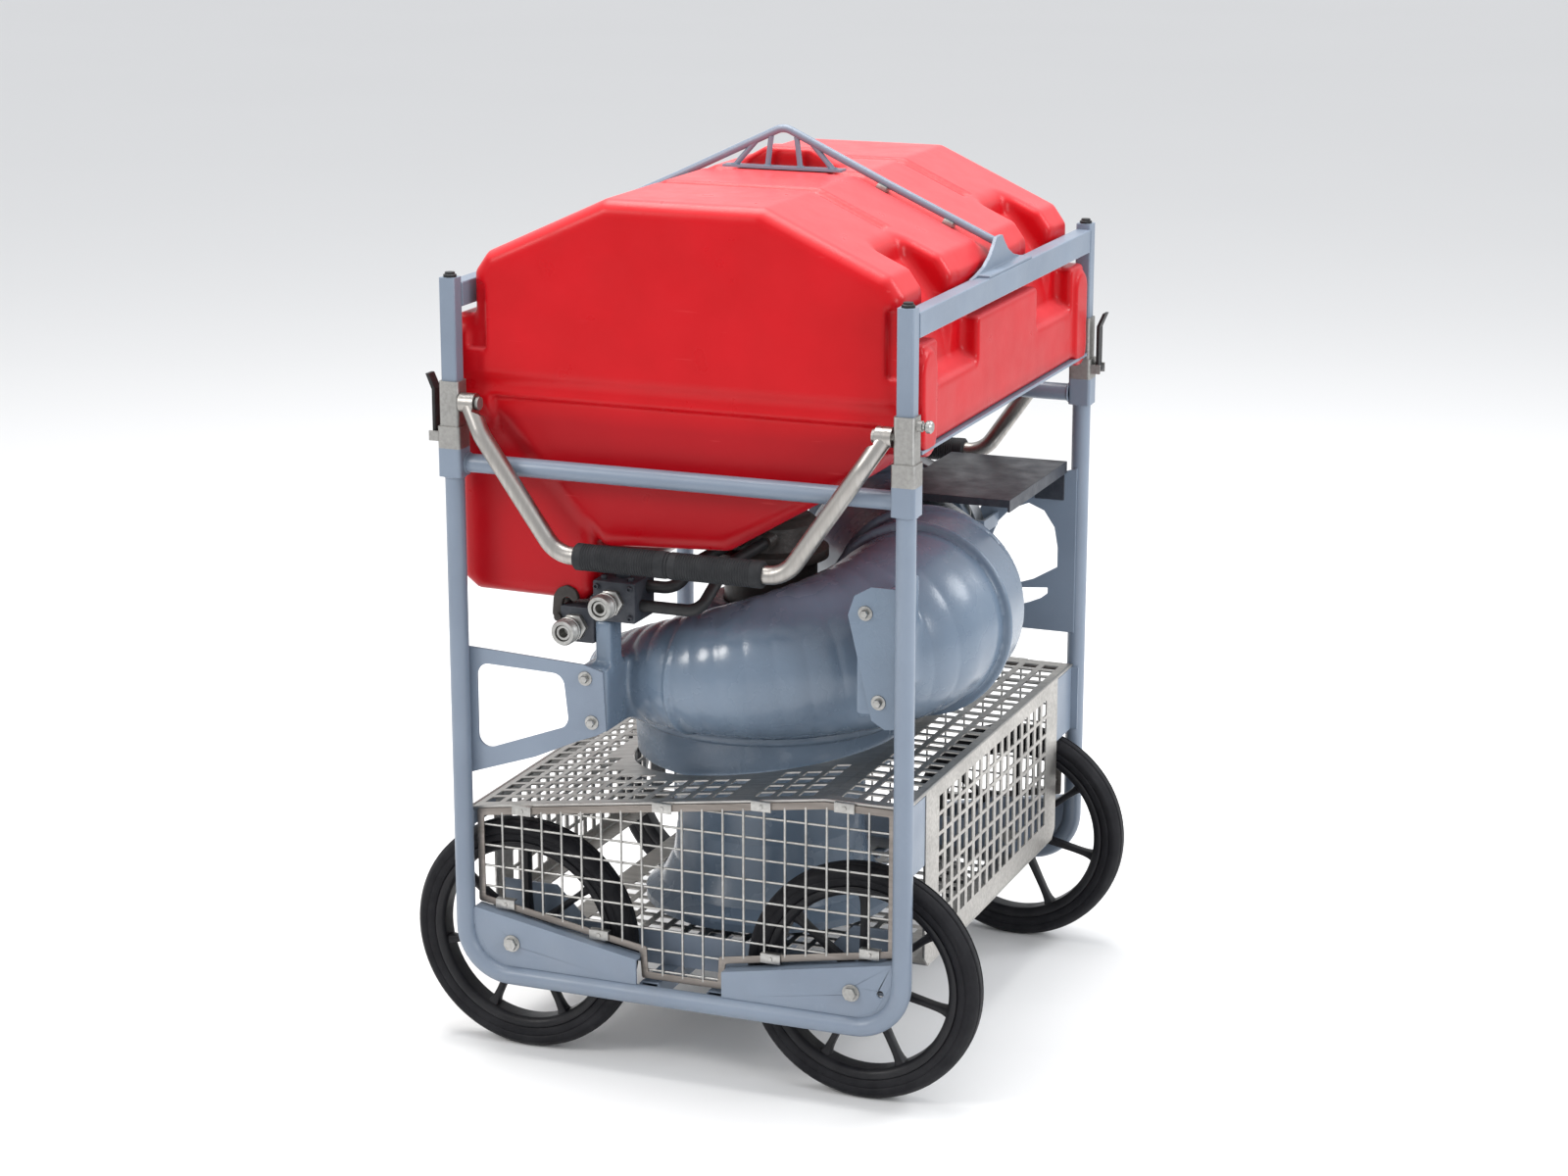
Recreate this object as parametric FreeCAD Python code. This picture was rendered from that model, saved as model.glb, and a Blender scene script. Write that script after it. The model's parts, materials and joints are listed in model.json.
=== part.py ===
import FreeCAD, Part
import math
import os

# Wheeled floating fire-water pump. Units are millimetres. The origin is on the ground under the
# middle of the trolley, +Z is up, +X is the rolling direction and the hoops face -Y and +Y.

V = FreeCAD.Vector
UP = V(0, 0, 1)
ALONG_X = V(1, 0, 0)
ALONG_Y = V(0, 1, 0)

# Frame
POST_X = 290.0
HOOP_Y = 350.0
TUBE_R = 12.0
TUBE_BORE_R = 9.7
HOOP_LOW_Z = 107.0
HOOP_BEND = 60.0
SOCKET_Z = (744.0, 779.0)
SOCKET_HALF = 15.0
CROSS_TUBE_R = 11.5
CROSS_TUBE_Y = 343.0
CROSS_TUBE_Z = 759.0
RAIL_X = 45.0
RAIL_HALF = 12.0
PLATE = 4.0
GUSSET_INNER_X = 57.0
GUSSET_Z = (152.0, 192.0)
GUSSET_LIP = 20.0
TUBE_WALL = 2.0

# Wheels
WHEEL_R = 150.0
WHEEL_X = 226.0
WHEEL_Y = 305.0
TYRE_WIDTH = 38.0
RIM_R = 124.0
HUB_R = 19.0
HUB_WIDTH = 40.0
AXLE_R = 8.0
BUSH_CLEARANCE = 0.05
SPOKES = 7
AXLE_PLATE_Y = 272.0
NUT_HEIGHT = 8.0
WASHER = 2.0

# Strainer cage
CAGE_X = 276.0
DECK_FLAT_Z = 384.0
DECK_FOLD_X = 186.0
DECK_SLOPE = 0.14
SHEET = 2.0
FLOOR_Z = 122.0
MESH_Y = 337.0
MESH_PITCH = 27.0
WIRE = 3.0
MESH_BORDER = 9.0
UPPER_CLIPS = (-215.0, -25.0, 105.0, 212.0)
LOWER_CLIPS = (-240.0, -112.0, 117.0, 245.0)
CLIP_HALF = 13.0
DECK_SEAM_X = 70.0
DECK_OPENING_R = 178.0
DECK_BLANK = 12.0
HOLE_PITCH = 28.0
HOLE = 20.0
SIDE_ROW_PITCH = 25.8
SIDE_LOW_Z = 158.0
SIDE_HALF_LENGTH = 268.0
SIDE_FLANGE = 14.0
SIDE_HOLE = (18.0, 21.0)

# Upper frame and float
POST_HALF = 10.5
POST_WALL = 2.5
POST_TOP = 986.0
COLLAR_TOP = 861.0
COLLAR_STEP = 806.0
COLLAR_HALF = (13.0, 15.0)
SPIGOT_R = 9.5
RAIL_Z = (949.0, 979.0)
RAIL_WIDTH = 21.0
FLOAT_FRONT = 330.0
FLOAT_WALL = 6.0
LEDGE_X = 302.0
LEDGE_Z = (816.0, 938.0)
LEDGE_FRONT = 322.0
NOTCH_Y = (150.0, 243.0)
NOTCH_Z = 893.0
PLUGS = ((-60.0, 690.0), (0.0, 1040.0))
PLUG_R = 12.0
BOW_R = 5.0
BOW_TOP = 1136.0

# Pump
PUMP_Y = -45.0
BASE_R = 182.0
BASE_Z = (348.0, 410.0)
CROWN_TOP = 545.0
CASING_WALL = 7.0
NOSE_TURN = 205
NOSE_R = 34.0
NOSE_REACH = 236.0
SCROLL_R = 115.0
SCROLL_REACH = 313.0
OUTLET = V(48.0, 262.0, 540.0)
OUTLET_FLANGE_R = 124.0
OUTLET_FLANGE = 14.0
OUTLET_BOLT_R = 115.0
OUTLET_LEAN = 0.4
OUTLET_R = 108.0
OUTLET_BORE_R = 99.0
SHAFT_R = 18.0
BELL_R = 163.0
BELL_Z = 148.0
IMPELLER_R = 112.0
BRACKET_Y = 336.0
COUPLING_Y = -322.0
COUPLINGS = ((-96.0, 597.0), (-145.0, 562.0))
SLEEVE_R = 16.0
SLEEVE_BORE_R = 10.3
STEM_R = 10.0
HOSE_R = 7.5
COVER_Z = 663.0

# Handles and locks
HANDLE_R = 11.0
GRIP_R = 16.5
HANDLE_PIVOT_X = 265.65
HANDLE_BARREL = 19.7
HANDLE_PIVOT_Y = 356.0
HANDLE_PLANE_Y = 368.0
HANDLE_PIVOT_Z = 836.0
HANDLE_GRIP_Z = 662.0
PIVOT_R = 5.0
LOCK_Z = 850.0
LOCK_R = 4.0
LATCH_PIVOT_X = 312.5
LATCH_PIVOT_Z = 793.0


def box(x0, x1, y0, y1, z0, z1):
    low = V(min(x0, x1), min(y0, y1), min(z0, z1))
    return Part.makeBox(abs(x1 - x0), abs(y1 - y0), abs(z1 - z0), low)


def cylinder(radius, start, axis, length):
    return Part.makeCylinder(radius, length, start, axis)


def ring(outer, inner, start, axis, length):
    return cylinder(outer, start, axis, length).cut(cylinder(inner, start, axis, length))


def extrude(points, vector):
    return Part.Face(Part.makePolygon(points + points[:1])).extrude(vector)


def plate_xz(outline, y0, y1):
    return extrude([V(x, y0, z) for x, z in outline], V(0, y1 - y0, 0))


def plate_yz(outline, x0, x1):
    return extrude([V(x0, y, z) for y, z in outline], V(x1 - x0, 0, 0))


def revolve(profile, centre, axis=UP):
    """Solid of revolution from (radius, distance along the axis) points."""
    side = UP if axis.x else ALONG_X
    points = [centre + side * r + axis * h for r, h in profile]
    return Part.Face(Part.makePolygon(points + points[:1])).revolve(centre, axis, 360)


def fuse(shapes):
    return shapes[0].multiFuse(shapes[1:]).removeSplitter()


def rounded_path(points, radii):
    """Straight runs joined by tangent arcs; radii holds one radius for each inner point."""
    edges = []
    start = points[0]
    for before, corner, after, radius in zip(points, points[1:], points[2:], radii):
        incoming = (before - corner).normalize()
        outgoing = (after - corner).normalize()
        half = incoming.getAngle(outgoing) / 2
        setback = radius / math.tan(half)
        middle = (incoming + outgoing).normalize() * (radius / math.sin(half) - radius)
        first = corner + incoming * setback
        last = corner + outgoing * setback
        edges.append(Part.LineSegment(start, first).toShape())
        edges.append(Part.Arc(first, corner + middle, last).toShape())
        start = last
    edges.append(Part.LineSegment(start, points[-1]).toShape())
    return Part.Wire(edges)


def swept(path, radius):
    start = path.Vertexes[0].Point
    tangent = path.Edges[0].tangentAt(path.Edges[0].FirstParameter)
    profile = Part.Wire(Part.makeCircle(radius, start, tangent))
    return path.makePipeShell([profile], True, False)


def square_block(half, x, y, z0, z1, corner=4.0):
    block = box(x - half, x + half, y - half, y + half, z0, z1)
    upright = [e for e in block.Edges if abs(e.tangentAt(0).z) > 0.9]
    return block.makeFillet(corner, upright)


def corners():
    return [(sx * POST_X, sy * HOOP_Y) for sx in (-1, 1) for sy in (-1, 1)]


def turned(shape):
    """The same piece on the opposite corner: half a turn about the vertical axis."""
    return shape.copy().rotate(V(0, 0, 0), UP, 180)


def post_core(x, y):
    """The lower post's outside, for pieces that are coped round it."""
    return cylinder(TUBE_R, V(x, y, 0), UP, SOCKET_Z[0])


def deck_z(x):
    return DECK_FLAT_Z - DECK_SLOPE * max(0.0, DECK_FOLD_X - x)


# ---------------------------------------------------------------- lower frame

def hoop(side):
    y = side * HOOP_Y
    top = SOCKET_Z[1]
    points = [V(-POST_X, y, top), V(-POST_X, y, HOOP_LOW_Z), V(POST_X, y, HOOP_LOW_Z), V(POST_X, y, top)]
    path = rounded_path(points, [HOOP_BEND, HOOP_BEND])
    outer = swept(path, TUBE_R)
    for x in (-POST_X, POST_X):
        outer = outer.fuse(square_block(SOCKET_HALF, x, y, *SOCKET_Z))
    return outer.cut(swept(path, TUBE_BORE_R))


def cross_tubes():
    reach = POST_X - SOCKET_HALF
    pieces = []
    for side in (-1, 1):
        start = V(-reach, side * CROSS_TUBE_Y, CROSS_TUBE_Z)
        pieces.append(ring(CROSS_TUBE_R, CROSS_TUBE_R - TUBE_WALL, start, ALONG_X, 2 * reach))
    return pieces


def gusset(sx, sy):
    """Corner plate in the hoop plane, with a lip folded back along its sloping top edge."""
    inner_x = GUSSET_INNER_X
    outer_x = POST_X - TUBE_R
    low_z = HOOP_LOW_Z + TUBE_R
    top = [(outer_x, GUSSET_Z[1]), (inner_x, GUSSET_Z[0])]
    corner = [(inner_x, low_z), (outer_x - 46, low_z), (outer_x - 20, low_z + 12),
              (outer_x, HOOP_LOW_Z + HOOP_BEND)]
    y = sy * HOOP_Y
    face = plate_xz([(sx * x, z) for x, z in top + corner], y - sy * PLATE / 2, y + sy * PLATE / 2)
    lip_outline = top + [(inner_x, top[1][1] - 3), (outer_x, top[0][1] - 3)]
    lip = plate_xz([(sx * x, z) for x, z in lip_outline], y - sy * PLATE / 2, y - sy * GUSSET_LIP)
    shape = face.fuse(lip)
    axle = cylinder(AXLE_R, V(sx * WHEEL_X, y - 10, WHEEL_R), ALONG_Y, 20)
    shape = shape.cut(axle)
    if sx == -sy:
        shape = shape.cut(cylinder(4.5, V(sx * 263, y - 10, 153), ALONG_Y, 20))
    return shape


def gusset_plates():
    return [gusset(sx, sy) for sx in (-1, 1) for sy in (-1, 1)]


def bottom_rails():
    pieces = []
    reach = HOOP_Y - TUBE_R
    low = HOOP_LOW_Z - RAIL_HALF
    for x in (-RAIL_X, RAIL_X):
        outer = box(x - RAIL_HALF, x + RAIL_HALF, -reach, reach, low, low + 2 * RAIL_HALF)
        half = RAIL_HALF - TUBE_WALL
        inner = box(x - half, x + half, -reach, reach, low + TUBE_WALL, low + 2 * RAIL_HALF - TUBE_WALL)
        pieces.append(outer.cut(inner))
    return pieces


def axle_plates():
    """Inner cross plates that carry the wheel axles and close the cage ends below the deck."""
    top = HOOP_LOW_Z + RAIL_HALF
    outline = [(-CAGE_X, 205), (-CAGE_X, 140), (-240, top), (240, top), (CAGE_X, 140), (CAGE_X, 205),
               (200, 205), (160, 165), (-160, 165), (-200, 205)]
    pieces = []
    for side in (-1, 1):
        plate = plate_xz(outline, side * AXLE_PLATE_Y, side * (AXLE_PLATE_Y + PLATE))
        for x in (-WHEEL_X, WHEEL_X):
            start = V(x, side * AXLE_PLATE_Y - 10, WHEEL_R)
            plate = plate.cut(cylinder(AXLE_R, start, ALONG_Y, 20))
        pieces.append(plate)
    return pieces


def axle_bolts():
    pieces = []
    for sx in (-1, 1):
        for sy in (-1, 1):
            out = ALONG_Y * sy
            centre = V(sx * WHEEL_X, 0, WHEEL_R)
            inside = centre + out * (AXLE_PLATE_Y - NUT_HEIGHT)
            outside = centre + out * (HOOP_Y + PLATE / 2)
            shank = cylinder(AXLE_R, inside, out, HOOP_Y + PLATE / 2 - AXLE_PLATE_Y + NUT_HEIGHT)
            washer = cylinder(AXLE_R + 3, outside, out, WASHER)
            head = hexagon(8.5, outside + out * WASHER, sy, 6)
            nut = hexagon(12, inside, sy, NUT_HEIGHT)
            pieces.append(fuse([shank, washer, head, nut]))
    return pieces


def hexagon(radius, centre, side, height):
    points = []
    for k in range(6):
        angle = math.radians(60 * k)
        points.append(centre + V(radius * math.cos(angle), 0, radius * math.sin(angle)))
    return extrude(points, ALONG_Y * side * height)


# ---------------------------------------------------------------- wheels

def tyre(sx, sy):
    centre = V(sx * WHEEL_X, sy * WHEEL_Y, WHEEL_R)
    half = TYRE_WIDTH / 2
    profile = [(RIM_R, -half + 3), (WHEEL_R - 9, -half), (WHEEL_R - 2, -half + 7), (WHEEL_R, -half + 12),
               (WHEEL_R, half - 12), (WHEEL_R - 2, half - 7), (WHEEL_R - 9, half), (RIM_R, half - 3)]
    return revolve(profile, centre, ALONG_Y)


def wheel(sx, sy):
    centre = V(sx * WHEEL_X, sy * WHEEL_Y, WHEEL_R)
    half = TYRE_WIDTH / 2 - 3
    rim_profile = [(RIM_R, -half), (RIM_R, half), (RIM_R - 8, half), (RIM_R - 11, half - 6),
                   (RIM_R - 11, -half + 6), (RIM_R - 8, -half)]
    rim = revolve(rim_profile, centre, ALONG_Y)
    hub = ring(HUB_R, AXLE_R + BUSH_CLEARANCE, centre - ALONG_Y * HUB_WIDTH / 2, ALONG_Y, HUB_WIDTH)
    pieces = [rim, hub]
    for k in range(SPOKES):
        spoke = box(HUB_R - 2, RIM_R - 10, -4, 4, -4.5, 4.5)
        spoke.rotate(V(0, 0, 0), ALONG_Y, 360.0 * k / SPOKES + 90)
        spoke.translate(centre)
        pieces.append(spoke)
    return fuse(pieces)


# ---------------------------------------------------------------- strainer cage

def mesh_outline():
    side = POST_X - TUBE_R - 1
    top = [(x, deck_z(x) - SHEET - 0.5) for x in (-side, DECK_FOLD_X, side)]
    inner, outer = GUSSET_INNER_X - 2, GUSSET_INNER_X
    foot, step, shoulder = FLOOR_Z + SHEET, GUSSET_Z[0] + 6, GUSSET_Z[1] + 4
    right = [(side, shoulder), (outer, step), (inner, step), (inner, foot)]
    bottom = right + [(-x, z) for x, z in reversed(right)]
    return top + bottom


def inset(outline, margin):
    wire = Part.makePolygon([V(x, 0, z) for x, z in outline + outline[:1]])
    return Part.Wire(wire).makeOffset2D(-margin, 2)


def mesh_panel(side):
    """Welded wire grid inside a flat border. The grid is square bars in one plane."""
    y = side * MESH_Y
    outline = mesh_outline()
    sheet = plate_xz(outline, y - WIRE / 2, y + WIRE / 2)
    holes = []
    columns = int(CAGE_X / MESH_PITCH)
    for i in range(-columns, columns):
        for k in range(4, 15):
            x0 = i * MESH_PITCH + WIRE / 2
            z0 = k * MESH_PITCH + WIRE / 2
            size = MESH_PITCH - WIRE
            holes.append(box(x0, x0 + size, y - WIRE, y + WIRE, z0, z0 + size))
    inner = Part.Face(inset(outline, MESH_BORDER))
    inner.translate(V(0, y - WIRE, 0))
    window = inner.extrude(V(0, 2 * WIRE, 0))
    return sheet.cut(Part.Compound(holes).common(window))


def deck_panel():
    """Folded perforated sheet: flat on the outlet side, sloping down to the other side."""
    edge = HOOP_Y - TUBE_R - 2
    xs = (-POST_X, DECK_FOLD_X, POST_X)
    top = [(x, deck_z(x)) for x in xs]
    under = [(x, z - SHEET) for x, z in reversed(top)]
    sheet = plate_xz(top + under, -edge, edge)
    opening = cylinder(DECK_OPENING_R, V(0, PUMP_Y, 200), UP, 300)
    holes = []
    for i in range(-10, 10):
        for k in range(-11, 12):
            x = (i + 0.5) * HOLE_PITCH
            y = k * HOLE_PITCH
            beyond_pump = math.hypot(x, y - PUMP_Y) > DECK_OPENING_R + HOLE
            beyond_seams = min(abs(x - DECK_FOLD_X), abs(x - DECK_SEAM_X)) > DECK_BLANK
            if beyond_pump and beyond_seams:
                holes.append(box(x - HOLE / 2, x + HOLE / 2, y - HOLE / 2, y + HOLE / 2, 200, 500))
    return sheet.cut(opening).cut(Part.Compound(holes))


def floor_panel():
    edge = AXLE_PLATE_Y - 1
    sheet = box(-CAGE_X + 40, CAGE_X - 40, -edge, edge, FLOOR_Z, FLOOR_Z + SHEET)
    holes = []
    for i in range(-7, 8):
        for k in range(-8, 9):
            x = i * HOLE_PITCH
            y = k * HOLE_PITCH
            half = HOLE / 2
            holes.append(box(x - half, x + half, y - half, y + half, FLOOR_Z - 5, FLOOR_Z + 5))
    return sheet.cut(Part.Compound(holes))


def side_panel(sx):
    """Perforated side sheet with its lower corners cut off and flanges folded in at top and bottom."""
    top = deck_z(sx * POST_X) - SHEET
    face_x = POST_X
    low = SIDE_LOW_Z
    length = SIDE_HALF_LENGTH
    cut = SIDE_FLANGE
    outline = [(-length, top), (length, top), (length, low + cut), (length - cut, low),
               (-length + cut, low), (-length, low + cut)]
    sheet = plate_yz(outline, sx * (face_x - SHEET), sx * face_x)
    top_flange = box(sx * (face_x - SIDE_FLANGE), sx * face_x, -length, length, top - SHEET, top)
    low_flange = box(sx * (face_x - 24), sx * face_x, -length + cut, length - cut, low, low + SHEET)
    holes = []
    rows = 1 + int((top - low - 45) / SIDE_ROW_PITCH)
    for i in range(16):
        for k in range(rows):
            y = (i - 7.5) * HOLE_PITCH
            z = top - 27 - k * SIDE_ROW_PITCH
            wide, tall = SIDE_HOLE
            holes.append(box(sx * (face_x - 10), sx * (face_x + 5), y - wide / 2, y + wide / 2,
                             z - tall / 2, z + tall / 2))
    return fuse([sheet, top_flange, low_flange]).cut(Part.Compound(holes))


def cage_corner_plates():
    """Upright painted plates that join the posts to the side panels."""
    pieces = []
    for sx in (-1, 1):
        for sy in (-1, 1):
            y0 = sy * (SIDE_HALF_LENGTH + 0.5)
            y1 = sy * (HOOP_Y - TUBE_R - 2.5)
            top = deck_z(sx * POST_X) - 4
            low = 2 * WHEEL_R - 8
            pieces.append(box(sx * (POST_X - 4), sx * (POST_X - 1), y0, y1, low, top))
            cleat = box(sx * (POST_X - 8), sx * (POST_X + 8), y1, sy * (HOOP_Y - TUBE_R + 1), low, top)
            pieces.append(cleat.cut(post_core(sx * POST_X, sy * HOOP_Y)))
    return pieces


def panel_clips():
    """Spring clips that hold the wire panels to the deck edge and to the gusset lips."""
    pieces = []
    for side in (-1, 1):
        y0 = side * (MESH_Y + WIRE / 2)
        for x in UPPER_CLIPS:
            z = deck_z(x) - 12
            pieces.append(box(x - CLIP_HALF, x + CLIP_HALF, y0, y0 + side * SHEET, z, z + 11))
        for x in LOWER_CLIPS:
            z = GUSSET_Z[0] + (abs(x) - GUSSET_INNER_X) * 0.182
            pieces.append(box(x - CLIP_HALF, x + CLIP_HALF, y0, y0 + side * SHEET, z + 4, z + 17))
    return pieces


# ---------------------------------------------------------------- upper frame

def upper_posts():
    pieces = []
    for x, y in corners():
        outer = square_block(POST_HALF, x, y, 800, POST_TOP, 3)
        half = POST_HALF - POST_WALL
        bore = box(x - half, x + half, y - half, y + half, 790, POST_TOP - 3)
        post = outer.cut(bore)
        if x * y < 0:
            post = post.cut(cylinder(LOCK_R + 0.3, V(x, y, LOCK_Z), ALONG_X * math.copysign(1, x), 30))
        pieces.append(post)
    return pieces


def collar(x, y):
    """Stainless sleeve that holds an upper post and plugs into the lower tube with a spigot."""
    narrow, wide = COLLAR_HALF
    low = SOCKET_Z[1]
    lower = square_block(wide, x, y, low, COLLAR_STEP)
    upper = square_block(narrow, x, y, COLLAR_STEP, COLLAR_TOP)
    spigot = cylinder(SPIGOT_R, V(x, y, low - 88), UP, 90)
    body = fuse([lower, upper, spigot])
    body = body.cut(box(x - POST_HALF, x + POST_HALF, y - POST_HALF, y + POST_HALF, 800, COLLAR_TOP + 1))
    inward = -ALONG_X * math.copysign(1, x)
    pivot_y = math.copysign(HANDLE_PIVOT_Y, y)
    start = V(x, pivot_y, HANDLE_PIVOT_Z) + inward * (narrow - 2)
    stub = cylinder(PIVOT_R, start, inward, 25)
    head = cylinder(8, V(x, pivot_y, HANDLE_PIVOT_Z) + inward * (narrow + 22.3), inward, 4)
    body = fuse([body, stub, head])
    if x * y < 0:
        outward = -inward
        guide = cylinder(6.5, V(x, y, LOCK_Z) + outward * (narrow - 1), outward, 7)
        body = body.fuse(guide)
        body = body.cut(cylinder(LOCK_R + 0.3, V(x, y, LOCK_Z), outward, 60))
    else:
        outward = -inward
        for dy in (-11, 11):
            ear = box(x + outward.x * (wide - 1), x + outward.x * (LATCH_PIVOT_X - POST_X + 5),
                      y + dy - 1.5, y + dy + 1.5, LATCH_PIVOT_Z - 6, LATCH_PIVOT_Z + 6)
            body = body.fuse(ear)
        body = body.fuse(cylinder(2.5, V(x + outward.x * (LATCH_PIVOT_X - POST_X), y - 12, LATCH_PIVOT_Z),
                                  ALONG_Y, 24))
    return body


def post_collars():
    return [collar(x, y) for x, y in corners()]


def post_caps():
    pieces = []
    for x, y in corners():
        cap = revolve([(0, 0), (8, 0), (8, 3), (6, 4), (6, 6), (0, 6)], V(x, y, POST_TOP))
        pieces.append(cap)
    return pieces


def side_rails():
    pieces = []
    reach = HOOP_Y - POST_HALF
    low, high = RAIL_Z
    for sx in (-1, 1):
        x0 = POST_X - RAIL_WIDTH / 2
        x1 = POST_X + RAIL_WIDTH / 2
        outer = box(sx * x0, sx * x1, -reach, reach, low, high)
        wall = TUBE_WALL
        inner = box(sx * (x0 + wall), sx * (x1 - wall), -reach, reach, low + wall, high - wall)
        pieces.append(outer.cut(inner))
    return pieces


def bow_brackets():
    high = RAIL_Z[1]
    half = [(105, high), (84, high + 3), (56, high + 9), (34, high + 19), (20, high + 30), (11, 1018)]
    outline = half + [(-y, z) for y, z in reversed(half)]
    x0 = POST_X - RAIL_WIDTH / 2
    pieces = []
    for sx in (-1, 1):
        web = plate_yz(outline, sx * x0, sx * (x0 + 5))
        foot = box(sx * (x0 + 5), sx * (x0 + 20), -84, 84, high, high + 3)
        pieces.append(web.fuse(foot))
    return pieces


def lifting_bow():
    """Round bar bow over the float, with the little truss that keeps it off the float's top."""
    end_x = POST_X - RAIL_WIDTH / 2
    points = [V(-end_x - 12, 0, 1005), V(-141, 0, 1073), V(0, 0, BOW_TOP + 3), V(141, 0, 1073),
              V(end_x + 12, 0, 1005)]
    bow = swept(rounded_path(points, [400, 22, 400]), BOW_R)
    bow = bow.common(box(-end_x, end_x, -20, 20, 900, 1200))
    foot = box(-80, 80, -9, 9, 1086.5, 1089.5)
    legs = []
    for foot_x, top_x, top_z in ((-66, -38, 1119), (-22, -17, 1127), (22, 17, 1127), (66, 38, 1119)):
        start = V(foot_x, 0, 1088)
        run = V(top_x, 0, top_z) - start
        legs.append(cylinder(3.5, start, run, run.Length))
    return fuse([bow, foot] + legs)


def float_outline(margin=0.0):
    m = margin
    return [(-100 + m / 2, 1085 - m), (100 - m / 2, 1085 - m), (256 - m, 1014 - m), (273 - m, 990 - m),
            (274 - m, 842), (266 - m, 824), (229 - m, 775 + m), (50, 669 + m), (-112, 661 + m),
            (-214 + m, 773), (-266 + m, 832), (-274 + m, 842), (-273 + m, 990 - m), (-256 + m, 1014 - m)]


def shoulder_pocket(sx, sy, margin):
    """Recess in the float's shoulder; margin grows it by the wall behind it."""
    near, far = NOTCH_Y
    m = margin
    outline = [(196 - 2 * m, 1080), (320, 1080), (320, NOTCH_Z), (268 - m, NOTCH_Z), (262 - m, 952 - m),
               (214 - m, 1008 - m)]
    return plate_xz([(sx * x, z) for x, z in outline], sy * (near - m), sy * (far + m))


def float_shell():
    """Hollow plastic float: body, the two side ledges under the rails and the deeper lobe."""
    front = FLOAT_FRONT
    body = plate_xz(float_outline(), -front, front)
    low, high = LEDGE_Z
    for sx in (-1, 1):
        body = body.fuse(box(sx * 260, sx * LEDGE_X, -LEDGE_FRONT, LEDGE_FRONT, low, high))
    lobe = [(-298, 830), (-298, 606), (-284, 592), (-140, 590), (-125, 604), (-125, 700), (-214, 830)]
    body = body.fuse(plate_xz(lobe, -315, 315))
    wall = FLOAT_WALL
    cavity = plate_xz(float_outline(wall), -front + wall, front - wall)
    for sx in (-1, 1):
        core = box(sx * 250, sx * (LEDGE_X - wall), -LEDGE_FRONT + wall, LEDGE_FRONT - wall, low + wall,
                   NOTCH_Z - wall)
        cavity = cavity.fuse(core)
    lobe_core = [(-292, 824), (-292, 609), (-281, 598), (-142, 596), (-131, 607), (-131, 705), (-214, 824)]
    cavity = cavity.fuse(plate_xz(lobe_core, -309, 309))
    near, far = NOTCH_Y
    for sx in (-1, 1):
        for sy in (-1, 1):
            cavity = cavity.cut(shoulder_pocket(sx, sy, wall))
            body = body.cut(shoulder_pocket(sx, sy, 0))
    body = body.cut(cavity)
    for sx in (-1, 1):
        for sy in (-1, 1):
            body = body.cut(box(sx * 274.5, sx * 310, sy * near, sy * far, NOTCH_Z, high + 1))
    for x, z in PLUGS:
        body = body.cut(cylinder(PLUG_R, V(x, front + 1, z), -ALONG_Y, 20))
    return body.removeSplitter()


def float_plugs():
    pieces = []
    for x, z in PLUGS:
        shank = cylinder(PLUG_R, V(x, FLOAT_FRONT - 10, z), ALONG_Y, 10)
        head = cylinder(18, V(x, FLOAT_FRONT, z), ALONG_Y, 5)
        pieces.append(shank.fuse(head).fuse(hexagon(9, V(x, FLOAT_FRONT + 5, z), 1, 5)))
    return pieces


def float_trays():
    """Angle strips under the side ledges that carry the float."""
    pieces = []
    low = LEDGE_Z[0]
    reach = HOOP_Y - 19.5
    for x0, x1 in ((-303, -299), (279, LEDGE_X)):
        pieces.append(box(x0, x1, -reach, reach, low - 4, low))
    return pieces


# ---------------------------------------------------------------- pump

def scroll_station(turn):
    """Centre, radius and heading of the scroll at an angle in degrees, 360 being the outlet side."""
    grow = min(1.0, (turn - NOSE_TURN) / 147.0)
    radius = NOSE_R + (SCROLL_R - NOSE_R) * grow ** 0.75
    outer = NOSE_REACH + (SCROLL_REACH - NOSE_REACH) * grow ** 1.3
    angle = math.radians(turn)
    out = V(math.cos(angle), math.sin(angle), 0)
    centre = V(0, PUMP_Y, BASE_Z[1] + 2 + 8.0 * grow + radius) + out * (outer - radius)
    return centre, radius, V(-out.y, out.x, 0)


def outlet_station(t):
    """The scroll's last stretch, an easy S from the outlet side to the outlet flange."""
    start, radius, heading = scroll_station(360)
    end = OUTLET
    points = [start, start + V(0, 150, 2), end - V(0, 70, 0), end]
    weights = [(1 - t) ** 3, 3 * t * (1 - t) ** 2, 3 * t * t * (1 - t), t ** 3]
    centre = V(0, 0, 0)
    for weight, point in zip(weights, points):
        centre = centre + point * weight
    slopes = [(1 - t) ** 2, 2 * t * (1 - t), t * t]
    heading = V(0, 0, 0)
    for slope, first, second in zip(slopes, points, points[1:]):
        heading = heading + (second - first) * slope
    heading.x = heading.x * OUTLET_LEAN
    return centre, radius + (OUTLET_R - radius) * t, heading


def scroll(wall):
    start, radius, heading = scroll_station(NOSE_TURN)
    tip = start - heading * (0.85 * radius)
    sections = [Part.Wire(Part.makeCircle(radius / 2 - wall, tip, heading))]
    for turn in range(NOSE_TURN, 361, 31):
        centre, radius, heading = scroll_station(turn)
        sections.append(Part.Wire(Part.makeCircle(radius - wall, centre, heading)))
    for step in range(1, 6):
        centre, radius, heading = outlet_station(step / 5)
        sections.append(Part.Wire(Part.makeCircle(radius - wall, centre, heading)))
    return Part.makeLoft(sections, True, False)


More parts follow.
